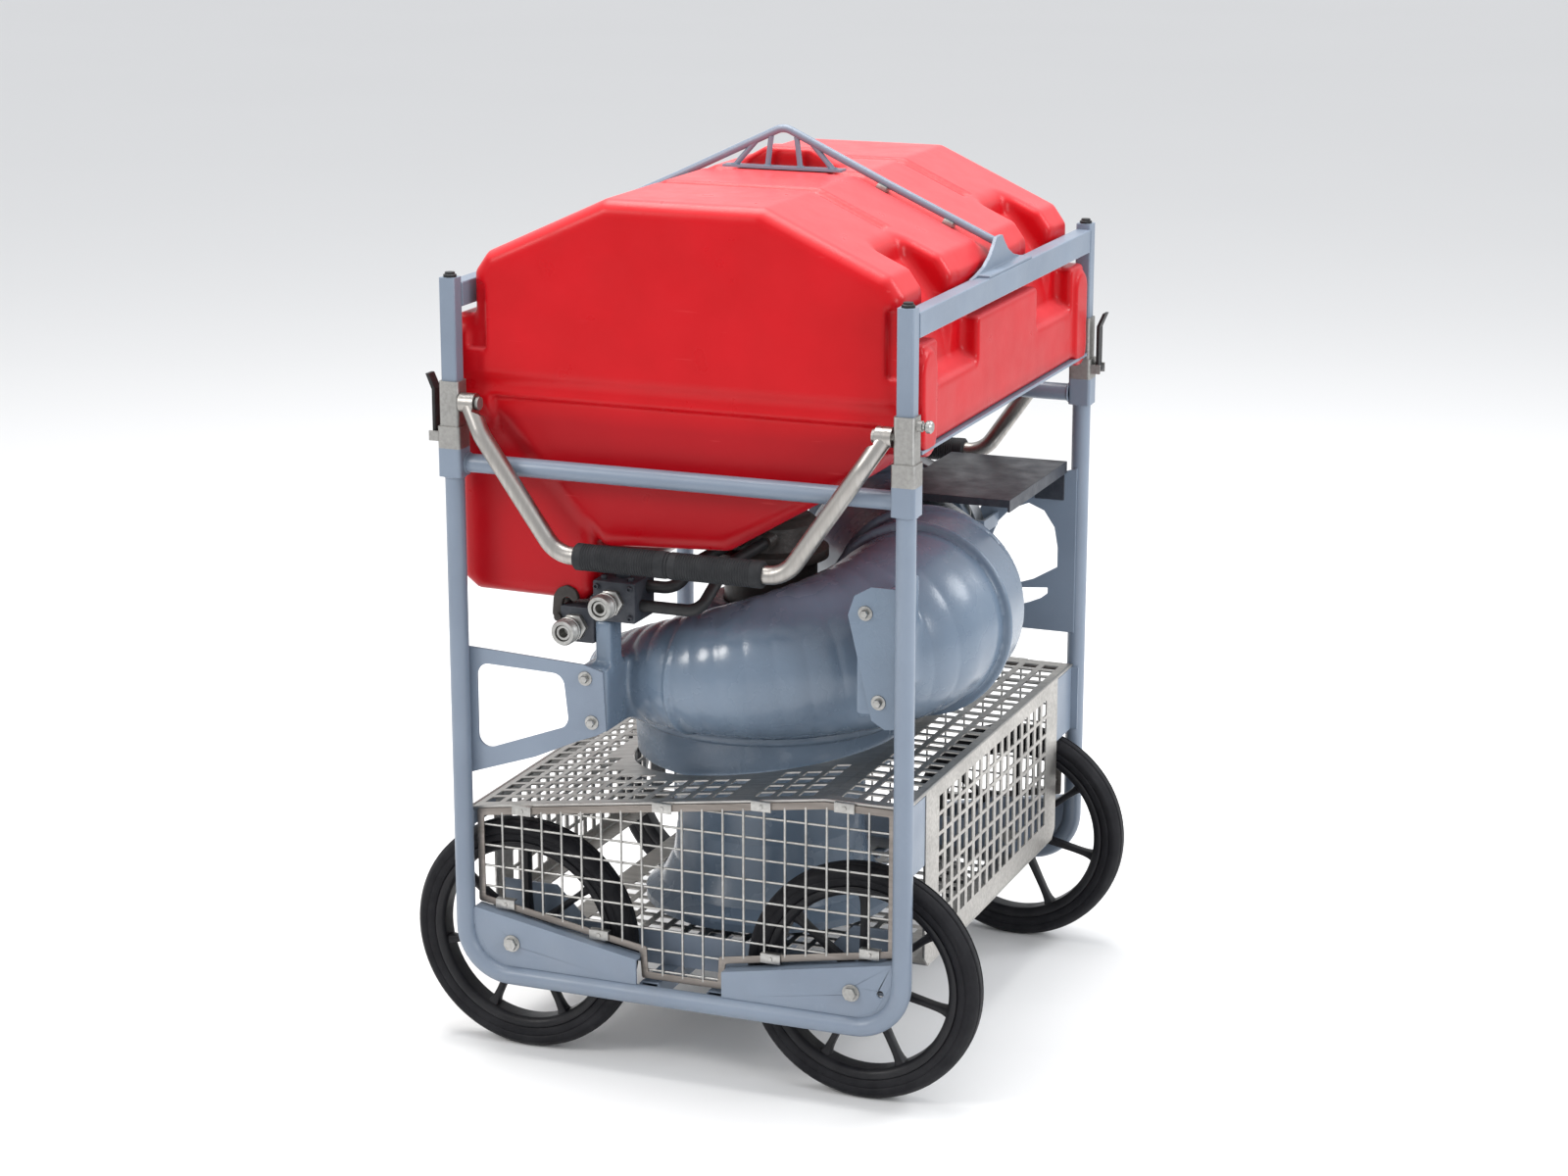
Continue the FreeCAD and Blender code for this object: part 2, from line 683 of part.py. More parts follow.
def volute_casing():
    """Scroll, crown and mounting lugs of the pump, all one casting."""
    centre = V(0, PUMP_Y, 0)
    low = BASE_Z[1]
    crown = revolve([(0, low), (BASE_R, low), (BASE_R, 428), (172, 462), (140, 500), (104, 528),
                     (80, CROWN_TOP), (0, CROWN_TOP)], centre)
    lug_left = box(-136, -98, -BRACKET_Y, -222, 434, 516)
    foot = box(-121, -100, -322, -285, 516, 571)
    pad = box(224, 268, -BRACKET_Y, -BRACKET_Y + 10, 494, 640)
    rib = box(240, 252, -330, -190, 500, 634)
    outside = fuse([crown, scroll(0), lug_left, foot, pad, rib])
    chamber = revolve([(0, low - 1), (168, low - 1), (168, 424), (160, 455), (130, 488), (96, 512), (72, 524),
                       (0, 524)], centre)
    inside = chamber.fuse(scroll(CASING_WALL))
    casing = outside.cut(inside)
    seat = cylinder(60, V(0, PUMP_Y, CROWN_TOP - 45), UP, 50)
    return casing.cut(seat)


def discharge_pipe():
    start = OUTLET
    flange = ring(OUTLET_FLANGE_R, OUTLET_BORE_R, start, ALONG_Y, OUTLET_FLANGE)
    pipe = ring(106, OUTLET_BORE_R, start, ALONG_Y, 70)
    stop = ring(112, OUTLET_BORE_R, start + ALONG_Y * 32, ALONG_Y, 6)
    return fuse([flange, pipe, stop])


def outlet_ring():
    """Swivelling lug ring of the hose coupling."""
    start = OUTLET + ALONG_Y * 38.3
    body = ring(120, 106.3, start, ALONG_Y, 30)
    for k in range(3):
        lug = box(112, 126, 0, 22, -16, 16)
        lug.rotate(V(0, 0, 0), ALONG_Y, 120 * k + 60)
        lug.translate(start + ALONG_Y * 8)
        body = body.fuse(lug)
    return body.cut(cylinder(106.3, start, ALONG_Y, 30))


def pump_base():
    low, high = BASE_Z
    profile = [(136, low), (172, low), (175, high - 12), (BASE_R, high - 8), (BASE_R, high), (168, high),
               (168, low + 10), (136, low + 10)]
    return revolve(profile, V(0, PUMP_Y, 0))


def suction_bell():
    top = BASE_Z[0]
    outer = [(146, top), (146, top - 8), (124, top - 20), (121, 250), (127, 205), (143, 172), (BELL_R, 158),
             (BELL_R, BELL_Z)]
    inner = [(BELL_R - 7, BELL_Z), (BELL_R - 7, 153), (139, 167), (122, 202), (116, 250), (119, top - 23),
             (136, top - 11), (136, top)]
    return revolve(outer + inner, V(0, PUMP_Y, 0))


def pump_shaft():
    return cylinder(SHAFT_R, V(0, PUMP_Y, 360), UP, 250)


def impeller():
    """Mixed-flow impeller: a cone hub with swept blades."""
    base = V(0, PUMP_Y, 0)
    hub = revolve([(0, 352), (30, 352), (44, 372), (78, 450), (78, 458), (0, 458)], base)
    blades = []
    for k in range(5):
        blade = box(20, IMPELLER_R, -3, 3, 376, 446)
        blade.rotate(V(66, 0, 411), ALONG_X, 28)
        blade.rotate(V(0, 0, 0), UP, 72 * k)
        blade.translate(base)
        blades.append(blade)
    envelope = revolve([(0, 352), (96, 352), (IMPELLER_R + 4, 458), (0, 458)], base)
    wheel_shape = fuse([hub] + blades).common(envelope)
    return wheel_shape.cut(cylinder(SHAFT_R, V(0, PUMP_Y, 300), UP, 300))


def bearing_housing():
    base = V(0, PUMP_Y, 0)
    bore = SHAFT_R + BUSH_CLEARANCE
    profile = [(bore, 482), (40, 482), (46, 500), (59.5, 520), (59.5, 600), (bore, 600)]
    return revolve(profile, base)


def shaft_seal():
    return ring(34, SHAFT_R + BUSH_CLEARANCE, V(0, PUMP_Y, 468), UP, 14)


def hydraulic_motor():
    base = V(0, PUMP_Y, 0)
    profile = [(SHAFT_R + 2, 600), (74, 600), (74, 612), (60, 616), (60, 646), (50, 654), (0, 654),
               (0, 611), (SHAFT_R + 2, 611)]
    body = revolve(profile, base)
    ports = []
    for dx in (-20, 20):
        ports.append(cylinder(11, V(dx, PUMP_Y - 45, 633), -ALONG_Y, 32))
    return fuse([body] + ports)


def valve_block():
    tall = box(-122, -66, -322, -262, 571, 622)
    step = box(-166, -122, -322, -272, 540, 586)
    return tall.fuse(step).removeSplitter()


def coupling_places():
    return [V(x, COUPLING_Y, z) for x, z in COUPLINGS]


def coupling_bodies():
    pieces = []
    for place in coupling_places():
        stem = cylinder(STEM_R, place, -ALONG_Y, 36)
        base = hexagon(17, place, -1, 8)
        body = stem.fuse(base)
        pieces.append(body.cut(cylinder(6, place - ALONG_Y * 40, ALONG_Y, 20)))
    return pieces


def coupling_sleeve(place):
    return ring(SLEEVE_R, SLEEVE_BORE_R, place - ALONG_Y * 18, -ALONG_Y, 20)


def hydraulic_hoses():
    pieces = []
    for dx, y, z in ((-20, -282, 610), (20, -302, 590)):
        points = [V(-66, y, z), V(dx - 10, y, z), V(dx, -240, 634), V(dx, -160, 633), V(dx, PUMP_Y - 77, 633)]
        pieces.append(swept(rounded_path(points, [20, 30, 200]), HOSE_R))
    return pieces


def top_cover():
    """Dark guard plate over the scroll on the outlet side, with its edges folded down."""
    low = COVER_Z
    x0, x1, y0, y1, gauge = 112.0, 276.0, 85.0, 336.0, 3.0
    sheet = box(x0, x1, y0, y1, low, low + gauge)
    lips = [box(x0, x1, y0, y0 + gauge, low - 7, low), box(x1 - gauge, x1, y0, y1, low - 13, low),
            box(232, x1 - gauge, y1 - gauge, y1, low - 51, low)]
    return fuse([sheet] + lips)


def bracket_front_left():
    outline = [(-POST_X, 527), (-128, 519), (-102, 512), (-98, 438), (-112, 430), (-136, 421), (-195, 394),
               (-POST_X, 362)]
    hole = [(-272, 507), (-155, 504), (-148, 439), (-272, 393)]
    window = rounded_prism(hole, 16, -350, -330)
    face = plate_xz(outline, -BRACKET_Y - PLATE, -BRACKET_Y)
    return face.cut(window).cut(post_core(-POST_X, -HOOP_Y))


def bracket_front_right():
    outline = [(215, 616), (223, 640), (244, 652), (POST_X, 652), (POST_X, 484), (262, 480), (245, 490),
               (233, 540)]
    return plate_xz(outline, -BRACKET_Y - PLATE, -BRACKET_Y).cut(post_core(POST_X, -HOOP_Y))


def bracket_rear_right():
    """Plate from the rear post to the outlet flange, with one large rounded window."""
    y0, y1 = BRACKET_Y, BRACKET_Y + PLATE
    outline = [(POST_X, 657), (239, 640), (207, 621), (186, 608), (158, 598), (150, 584), (150, 540),
               (158, 496), (176, 454), (198, 428), (POST_X, 428)]
    arch = [(171, 500), (171, 553), (180, 575), (197, 593), (223, 604), (245, 595), (260, 573), (265, 545),
            (265, 518), (231, 498), (205, 489)]
    slot = [(205, 484), (252, 488), (252, 480), (242, 472), (226, 465), (206, 458)]
    face = plate_xz(outline, y0, y1).cut(post_core(POST_X, HOOP_Y))
    for opening in (arch, slot):
        face = face.cut(plate_xz(opening, y0 - 5, y1 + 5))
    web_x = OUTLET.x + 128
    back = OUTLET.y + OUTLET_FLANGE
    web = box(web_x, web_x + PLATE, back, y0, 570, 588)
    foot = box(web_x - 24, web_x + PLATE, back, back + PLATE, 570, 588)
    return fuse([face, web, foot])


def rounded_prism(outline, corner, y0, y1):
    """Prism along Y with its long edges rounded, for windows in upright plates."""
    prism = plate_xz(outline, y0, y1)
    deep = [e for e in prism.Edges if abs(e.tangentAt(0).y) > 0.9]
    return prism.makeFillet(corner, deep)


def pump_bolts():
    pieces = []
    for x, z in ((-125, 502), (-117, 447), (237, 620), (254, 513)):
        pieces.append(hexagon(7, V(x, -BRACKET_Y - PLATE, z), -1, 6))
    for k in range(12):
        if k not in (11, 0):
            angle = math.radians(30 * k)
            spoke = V(math.cos(angle), 0, math.sin(angle)) * OUTLET_BOLT_R
            centre = OUTLET + ALONG_Y * OUTLET_FLANGE + spoke
            pieces.append(hexagon(8, centre, 1, 7))
    return pieces


# ---------------------------------------------------------------- handles and locks

def handle_tube(side):
    y_pivot = side * HANDLE_PIVOT_Y
    y = side * HANDLE_PLANE_Y
    top = V(HANDLE_PIVOT_X, y_pivot, HANDLE_PIVOT_Z)
    knee = V(HANDLE_PIVOT_X - 22, y, 800)
    points = [V(-top.x, y_pivot, top.z), V(-knee.x, y, knee.z), V(-147, y, HANDLE_GRIP_Z),
              V(147, y, HANDLE_GRIP_Z), knee, top]
    bar = swept(rounded_path(points, [45, 42, 42, 45]), HANDLE_R)
    inner = HANDLE_PIVOT_X - HANDLE_BARREL / 2
    outer = HANDLE_PIVOT_X + HANDLE_BARREL / 2
    for sx in (-1, 1):
        out = ALONG_X * sx
        axis = V(0, y_pivot, HANDLE_PIVOT_Z)
        bar = bar.fuse(cylinder(12, axis + out * inner, out, HANDLE_BARREL))
        bar = bar.cut(cylinder(16, axis + out * outer, out, 20))
        bar = bar.cut(cylinder(16, axis + out * (inner - 22.3), out, 22.3))
        bar = bar.cut(cylinder(PIVOT_R + BUSH_CLEARANCE, axis + out * (inner - 10), out, 40))
    return bar


def handle_grips(side):
    y = side * HANDLE_PLANE_Y
    pieces = []
    for x in (-121.0, 1.0):
        pieces.append(ring(GRIP_R, HANDLE_R, V(x, y, HANDLE_GRIP_Z), ALONG_X, 120))
    return pieces


def lock_pin():
    """Spring plunger of the front right post, pulled outward by its knob."""
    centre = V(POST_X, -HOOP_Y, LOCK_Z)
    rod = cylinder(LOCK_R, centre + ALONG_X * 6, ALONG_X, 17)
    knob = revolve([(0, 22), (5, 22), (7.5, 24.5), (7.5, 29), (5.5, 31), (0, 31)], centre, ALONG_X)
    return rod.fuse(knob)


def latch_lever():
    """Over-centre lever of the front left post, lying up against the collar."""
    x = -LATCH_PIVOT_X
    barrel = ring(5.5, 2.6, V(x, -HOOP_Y - 9, LATCH_PIVOT_Z), ALONG_Y, 18)
    outline = [(x + 2, 796), (x + 2, 850), (x - 6, 868), (x - 10, 868), (x - 2, 849), (x - 2, 796)]
    arm = plate_xz(outline, -HOOP_Y - 8, -HOOP_Y + 8)
    return barrel.fuse(arm.cut(cylinder(2.6, V(x, -HOOP_Y - 9, LATCH_PIVOT_Z), ALONG_Y, 18)))


def parts():
    nodes = {
        "front_hoop": hoop(-1),
        "rear_hoop": hoop(1),
        "cross_tubes": cross_tubes(),
        "gusset_plates": gusset_plates(),
        "bottom_rails": bottom_rails(),
        "axle_plates": axle_plates(),
        "axle_bolts": axle_bolts(),
        "wire_panel_front": mesh_panel(-1),
        "wire_panel_rear": mesh_panel(1),
        "deck_panel": deck_panel(),
        "floor_panel": floor_panel(),
        "side_panel_left": side_panel(-1),
        "side_panel_right": side_panel(1),
        "cage_corner_plates": cage_corner_plates(),
        "panel_clips": panel_clips(),
        "upper_posts": upper_posts(),
        "post_collars": post_collars(),
        "post_caps": post_caps(),
        "side_rails": side_rails(),
        "bow_brackets": bow_brackets(),
        "lifting_bow": lifting_bow(),
        "float_shell": float_shell(),
        "float_plugs": float_plugs(),
        "float_trays": float_trays(),
        "volute_casing": volute_casing(),
        "discharge_pipe": discharge_pipe(),
        "outlet_ring": outlet_ring(),
        "pump_base": pump_base(),
        "suction_bell": suction_bell(),
        "pump_shaft": pump_shaft(),
        "impeller": impeller(),
        "bearing_housing": bearing_housing(),
        "shaft_seal": shaft_seal(),
        "hydraulic_motor": hydraulic_motor(),
        "valve_block": valve_block(),
        "coupling_bodies": coupling_bodies(),
        "coupling_sleeve_pressure": coupling_sleeve(coupling_places()[0]),
        "coupling_sleeve_return": coupling_sleeve(coupling_places()[1]),
        "hydraulic_hoses": hydraulic_hoses(),
        "top_cover": top_cover(),
        "bracket_front_left": bracket_front_left(),
        "bracket_front_right": bracket_front_right(),
        "bracket_rear_right": bracket_rear_right(),
        "pump_bolts": pump_bolts(),
        "handle_tube_front": handle_tube(-1),
        "handle_tube_rear": handle_tube(1),
        "handle_grips_front": handle_grips(-1),
        "handle_grips_rear": handle_grips(1),
        "lock_pin_front": lock_pin(),
        "lock_pin_rear": turned(lock_pin()),
        "latch_lever_front": latch_lever(),
        "latch_lever_rear": turned(latch_lever()),
    }
    for sy, end in ((-1, "front"), (1, "rear")):
        for sx, hand in ((-1, "left"), (1, "right")):
            nodes["tyre_" + end + "_" + hand] = tyre(sx, sy)
            nodes["wheel_" + end + "_" + hand] = wheel(sx, sy)
    return nodes


os.makedirs("parts", exist_ok=True)
for name, shape in parts().items():
    if isinstance(shape, list):
        shape = Part.Compound(shape)
    solids = len(shape.Solids)
    print(name, "solids", solids, "valid", shape.isValid(), "volume cm3", round(shape.Volume / 1000, 1))
    shape.exportStep("parts/" + name + ".step")
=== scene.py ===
import json
import math

import bmesh
import bpy
import numpy as np
from mathutils import Matrix, Vector


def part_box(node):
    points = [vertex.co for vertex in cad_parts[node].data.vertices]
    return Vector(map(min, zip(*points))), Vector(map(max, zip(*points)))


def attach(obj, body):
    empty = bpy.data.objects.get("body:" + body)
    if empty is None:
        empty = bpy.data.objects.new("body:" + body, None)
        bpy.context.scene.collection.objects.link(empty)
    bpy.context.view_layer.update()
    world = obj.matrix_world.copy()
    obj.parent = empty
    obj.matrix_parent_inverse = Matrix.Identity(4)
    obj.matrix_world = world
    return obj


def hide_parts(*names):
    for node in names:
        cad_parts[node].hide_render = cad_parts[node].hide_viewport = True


# Wheeled floating fire water pump: the looks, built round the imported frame.
# Shapes are worked out in millimetres in the frame's axes, and add_piece() turns them into metres.

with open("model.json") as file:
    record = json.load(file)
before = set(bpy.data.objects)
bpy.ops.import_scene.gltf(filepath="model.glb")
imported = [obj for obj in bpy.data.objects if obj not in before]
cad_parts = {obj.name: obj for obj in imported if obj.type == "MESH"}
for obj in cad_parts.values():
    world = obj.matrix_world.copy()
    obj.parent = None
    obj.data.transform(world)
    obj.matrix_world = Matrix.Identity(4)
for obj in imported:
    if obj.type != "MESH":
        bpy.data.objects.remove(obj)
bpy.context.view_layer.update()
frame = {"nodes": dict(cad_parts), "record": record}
NODES = frame["nodes"]
MM = 0.001
X, Y, Z = Vector((1, 0, 0)), Vector((0, 1, 0)), Vector((0, 0, 1))
SIDES = ((-1, -1), (1, -1), (-1, 1), (1, 1))
POST_X, HOOP_Y = 290.0, 350.0
DECK_Z, DECK_FOLD_X, DECK_FALL = 384.0, 186.0, 0.14
FRAME_TUBE_R = 12.0


def box_mm(node):
    low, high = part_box(node)
    return low / MM, high / MM


def middle_mm(node):
    low, high = box_mm(node)
    return (low + high) / 2


def half_mm(node):
    low, high = box_mm(node)
    return (high - low) / 2


# ---- materials

class Look:
    """One procedural material. Patterns are placed by the frame's own coordinates, in metres."""

    def __init__(self, name, **constants):
        self.material = bpy.data.materials.new(name)
        self.material.use_nodes = True
        self.tree = self.material.node_tree
        self.shader = self.tree.nodes["Principled BSDF"]
        for socket, value in constants.items():
            self.shader.inputs[socket.replace("_", " ")].default_value = value
        self.place = self.tree.nodes.new("ShaderNodeTexCoord").outputs["Object"]
        self.normal = None

    def node(self, kind, inputs, **settings):
        made = self.tree.nodes.new(kind)
        for key, value in settings.items():
            setattr(made, key, value)
        for socket, value in inputs.items():
            if isinstance(value, bpy.types.NodeSocket):
                self.tree.links.new(value, made.inputs[socket])
            else:
                made.inputs[socket].default_value = value
        return made

    def noise(self, scale, detail=3.0, stretch=(1, 1, 1), roughness=0.5):
        mapping = self.node("ShaderNodeMapping", {"Vector": self.place, "Scale": stretch})
        values = {"Vector": mapping.outputs[0], "Scale": scale, "Detail": detail, "Roughness": roughness}
        return self.node("ShaderNodeTexNoise", values).outputs["Fac"]

    def cells(self, scale):
        return self.node("ShaderNodeTexVoronoi", {"Vector": self.place, "Scale": scale}).outputs[0]

    def height(self):
        return self.node("ShaderNodeSeparateXYZ", {0: self.place}).outputs["Z"]

    def facing_up(self):
        normal = self.tree.nodes.new("ShaderNodeNewGeometry").outputs["Normal"]
        return self.node("ShaderNodeSeparateXYZ", {0: normal}).outputs["Z"]

    def spread(self, value, low, high, to_low=0.0, to_high=1.0):
        values = {"Value": value, "From Min": low, "From Max": high, "To Min": to_low, "To Max": to_high}
        return self.node("ShaderNodeMapRange", values).outputs["Result"]

    def times(self, first, second):
        return self.node("ShaderNodeMath", {0: first, 1: second}, operation="MULTIPLY").outputs[0]

    def tint(self, factor, first, second):
        mix = self.node("ShaderNodeMix", {"Factor": factor, 6: first, 7: second}, data_type="RGBA")
        return mix.outputs[2]

    def set(self, socket, value):
        self.tree.links.new(value, self.shader.inputs[socket])

    def bump(self, height, distance, strength):
        values = {"Height": height, "Distance": distance, "Strength": strength}
        if self.normal:
            values["Normal"] = self.normal
        self.normal = self.node("ShaderNodeBump", values).outputs["Normal"]
        self.set("Normal", self.normal)


def rgb(red, green, blue):
    return (red, green, blue, 1.0)


def paint(name, base, dark, light, gloss):
    """Sprayed enamel: faint cloudiness, orange peel, road dust low down and thin scuffs."""
    look = Look(name, Coat_Weight=0.15, Coat_Roughness=0.25)
    cloud = look.spread(look.noise(7.0, 4.0), 0.35, 0.68)
    colour = look.tint(cloud, dark, base)
    worn = look.spread(look.noise(38.0, 5.0, roughness=0.7), 0.60, 0.80, 0.0, 0.20)
    colour = look.tint(worn, colour, light)
    scuff = look.spread(look.noise(90.0, 2.0, stretch=(1.0, 1.0, 0.08)), 0.74, 0.84, 0.0, 0.15)
    colour = look.tint(scuff, colour, light)
    dust = look.times(look.spread(look.height(), 0.26, 0.05), look.spread(look.noise(24.0, 6.0), 0.45, 0.85))
    colour = look.tint(look.times(dust, 0.22), colour, rgb(0.17, 0.165, 0.155))
    look.set("Base Color", colour)
    look.set("Roughness", look.spread(look.noise(19.0, 4.0), 0.3, 0.7, gloss, gloss + 0.18))
    look.bump(look.noise(420.0, 2.0), 0.0003, 0.5)
    return look.material


def moulded_red():
    """Rotomoulded float: saturated red, mould mottling, painted shade below the waist, scratches and a
    painted sky reflection on top.
    """
    look = Look("float_red_plastic", IOR=1.36, Specular_IOR_Level=0.38)
    mottle = look.spread(look.noise(9.0, 5.0), 0.3, 0.7)
    colour = look.tint(mottle, rgb(0.43, 0.002, 0.005), rgb(0.50, 0.003, 0.008))
    # Painted shade: the red is darkened below the waist, where the float's lower half sits in shade.
    under = look.spread(look.height(), 0.836, 0.812)
    colour = look.tint(look.times(under, 0.55), colour, rgb(0.27, 0.001, 0.006))
    # Painted reflection: upward-facing surfaces are tinted pale pink, standing in for the sky reflecting off
    # the top.
    painted_sky_reflection = look.spread(look.facing_up(), 0.35, 0.95, 0.0, 0.62)
    colour = look.tint(painted_sky_reflection, colour, rgb(0.78, 0.10, 0.11))
    scratch = look.spread(look.noise(140.0, 1.0, stretch=(0.10, 1.0, 1.0)), 0.75, 0.79, 0.0, 0.18)
    colour = look.tint(scratch, colour, rgb(0.70, 0.09, 0.09))
    fleck = look.spread(look.cells(300.0), 0.05, 0.11, 0.18, 0.0)
    fleck = look.times(fleck, look.spread(look.noise(16.0), 0.5, 0.7))
    colour = look.tint(fleck, colour, rgb(0.72, 0.12, 0.12))
    look.set("Base Color", colour)
    look.set("Roughness", look.spread(look.noise(26.0, 5.0), 0.3, 0.7, 0.27, 0.38))
    look.bump(look.noise(5.0, 1.0), 0.004, 0.20)
    look.bump(look.noise(260.0, 3.0), 0.0003, 0.30)
    return look.material


def steel(name, base, dark, rough, grain=(1.0, 1.0, 1.0)):
    """Bare metal with a drawn or brushed grain, water marks and dull patches."""
    look = Look(name, Metallic=1.0, Specular_Tint=rgb(1.0, 0.98, 0.95))
    line = look.noise(220.0, 3.0, stretch=grain)
    patch = look.spread(look.noise(13.0, 6.0, roughness=0.65), 0.40, 0.72)
    colour = look.tint(look.spread(line, 0.3, 0.7, 0.0, 0.5), base, dark)
    colour = look.tint(look.times(patch, 0.35), colour, dark)
    look.set("Base Color", colour)
    sums = {0: look.spread(line, 0.3, 0.7, 0.0, 0.14), 1: look.spread(patch, 0.0, 1.0, rough, rough + 0.16)}
    mixed = look.node("ShaderNodeMath", sums, operation="ADD")
    look.set("Roughness", mixed.outputs[0])
    look.bump(line, 0.0002, 0.3)
    return look.material


def dull(name, base, light, rough, peel=320.0, depth=0.0004, dust=0.25, specular=0.32):
    """Rubber, black plastic or dark castings: soft grain, greyed by dust in patches."""
    look = Look(name, Specular_IOR_Level=specular)
    grain = look.spread(look.noise(55.0, 6.0, roughness=0.7), 0.42, 0.70)
    colour = look.tint(look.times(grain, dust), base, light)
    low = look.times(look.spread(look.height(), 0.20, 0.0), look.spread(look.noise(30.0, 5.0), 0.4, 0.65))
    look.set("Base Color", look.tint(look.times(low, 0.5), colour, light))
    look.set("Roughness", look.spread(look.noise(40.0, 3.0), 0.3, 0.7, rough, min(1.0, rough + 0.15)))
    look.bump(look.noise(peel, 3.0), depth, 0.6)
    return look.material


def make_looks():
    return {
        "frame_paint": paint("frame_paint_grey_blue", rgb(0.182, 0.226, 0.290), rgb(0.152, 0.190, 0.248),
            rgb(0.28, 0.33, 0.39), 0.32),
        "pump_paint": paint("pump_paint_grey_blue", rgb(0.140, 0.190, 0.256), rgb(0.116, 0.158, 0.215),
            rgb(0.24, 0.29, 0.36), 0.15),
        "float_red": moulded_red(),
        "stainless_sheet": steel("stainless_sheet_2b", rgb(0.50, 0.49, 0.47), rgb(0.30, 0.29, 0.28), 0.30,
            (0.05, 1.0, 1.0)),
        "stainless_wire": steel("stainless_wire_drawn", rgb(0.46, 0.455, 0.44), rgb(0.28, 0.275, 0.26), 0.28),
        "stainless_cast": steel("stainless_bead_blasted", rgb(0.36, 0.355, 0.34), rgb(0.25, 0.245, 0.24),
            0.44),
        "stainless_tube": steel("stainless_tube_satin", rgb(0.40, 0.385, 0.365), rgb(0.25, 0.235, 0.22), 0.26,
            (1.0, 0.12, 0.12)),
        "border_steel": steel("stainless_strip_brushed", rgb(0.27, 0.245, 0.225), rgb(0.17, 0.15, 0.135),
            0.36, (0.05, 1.0, 1.0)),
        "zinc_fastener": steel("zinc_plated", rgb(0.42, 0.42, 0.41), rgb(0.24, 0.235, 0.22), 0.32),
        "dark_steel": dull("slate_enamel", rgb(0.030, 0.034, 0.044), rgb(0.085, 0.090, 0.10), 0.34, dust=0.4),
        "dark_casting": dull("oily_casting", rgb(0.030, 0.026, 0.024), rgb(0.09, 0.075, 0.065), 0.36, 140.0,
            0.001),
        "dark_plastic": dull("black_plastic", rgb(0.012, 0.012, 0.013), rgb(0.05, 0.05, 0.05), 0.42),
        "wheel_plastic": dull("wheel_nylon", rgb(0.006, 0.006, 0.008), rgb(0.026, 0.026, 0.028), 0.34,
            dust=0.2, specular=0.26),
        "tyre": dull("tyre_rubber", rgb(0.006, 0.006, 0.008), rgb(0.022, 0.022, 0.025), 0.50, 180.0, 0.0005,
            0.30, 0.18),
        "grip_foam": dull("grip_rubber", rgb(0.010, 0.011, 0.013), rgb(0.045, 0.046, 0.05), 0.62),
        "hose_rubber": dull("hose_rubber_black", rgb(0.014, 0.014, 0.015), rgb(0.05, 0.05, 0.05), 0.42),
        "seal_rubber": dull("seal_rubber_black", rgb(0.015, 0.015, 0.015), rgb(0.04, 0.04, 0.04), 0.6),
        "outlet_alloy": steel("cast_alloy", rgb(0.45, 0.46, 0.48), rgb(0.30, 0.31, 0.32), 0.38),
        "bronze": steel("cast_bronze", rgb(0.50, 0.34, 0.16), rgb(0.30, 0.20, 0.09), 0.34),
    }


LOOKS = make_looks()
CAD_SLOT = {row["node"]: row["material_slot"] for row in frame["record"]["subparts"]}


# ---- mesh building

def joined(parts):
    """One (vertices, faces) pair out of several."""
    vertices, faces = [], []
    for some_vertices, some_faces in parts:
        start = len(vertices)
        vertices.extend(some_vertices)
        faces.extend([[start + i for i in face] for face in some_faces])
    return vertices, faces


def add_piece(name, shape, slot, body="trolley", replaces=(), sharp=38.0, weld=True, look=None):
    vertices, faces = shape
    mesh = bpy.data.meshes.new(name)
    mesh.from_pydata(np.asarray(vertices, float) * MM, [], faces)
    if weld:
        made = bmesh.new()
        made.from_mesh(mesh)
        bmesh.ops.remove_doubles(made, verts=made.verts, dist=2e-6)
        bmesh.ops.dissolve_degenerate(made, edges=made.edges, dist=1e-7)
        bmesh.ops.recalc_face_normals(made, faces=made.faces)
        made.to_mesh(mesh)
        made.free()
    mesh.shade_smooth()
    mesh.set_sharp_from_angle(angle=math.radians(sharp))
    mesh.materials.append(LOOKS[look or slot])
    piece = placed(name, mesh)
    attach(piece, body)
    if replaces:
        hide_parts(*replaces)
    return piece


def placed(name, data):
    made = bpy.data.objects.new(name, data)
    bpy.context.scene.collection.objects.link(made)
    return made


def across(axis):
    """Two unit vectors square to an axis."""
    axis = Vector(axis).normalized()
    side = axis.cross(Z if abs(axis.z) < 0.9 else X).normalized()
    return side, axis.cross(side)


def bent(points, radius, steps):
    """A polyline with its corners rounded by tangent arcs."""
    points = [Vector(p) for p in points]
    out = [points[0]]
    for before, corner, after in zip(points, points[1:], points[2:]):
        incoming = (before - corner).normalized()
        outgoing = (after - corner).normalized()
        half = incoming.angle(outgoing) / 2
        first = corner + incoming * (radius / math.tan(half))
        centre = corner + (incoming + outgoing).normalized() * (radius / math.sin(half))
        turn = math.pi - 2 * half
        arm = first - centre
        square = -incoming
        for k in range(steps + 1):
            angle = turn * k / steps
            out.append(centre + arm * math.cos(angle) + square * (radius * math.sin(angle)))
    out.append(points[-1])
    return out


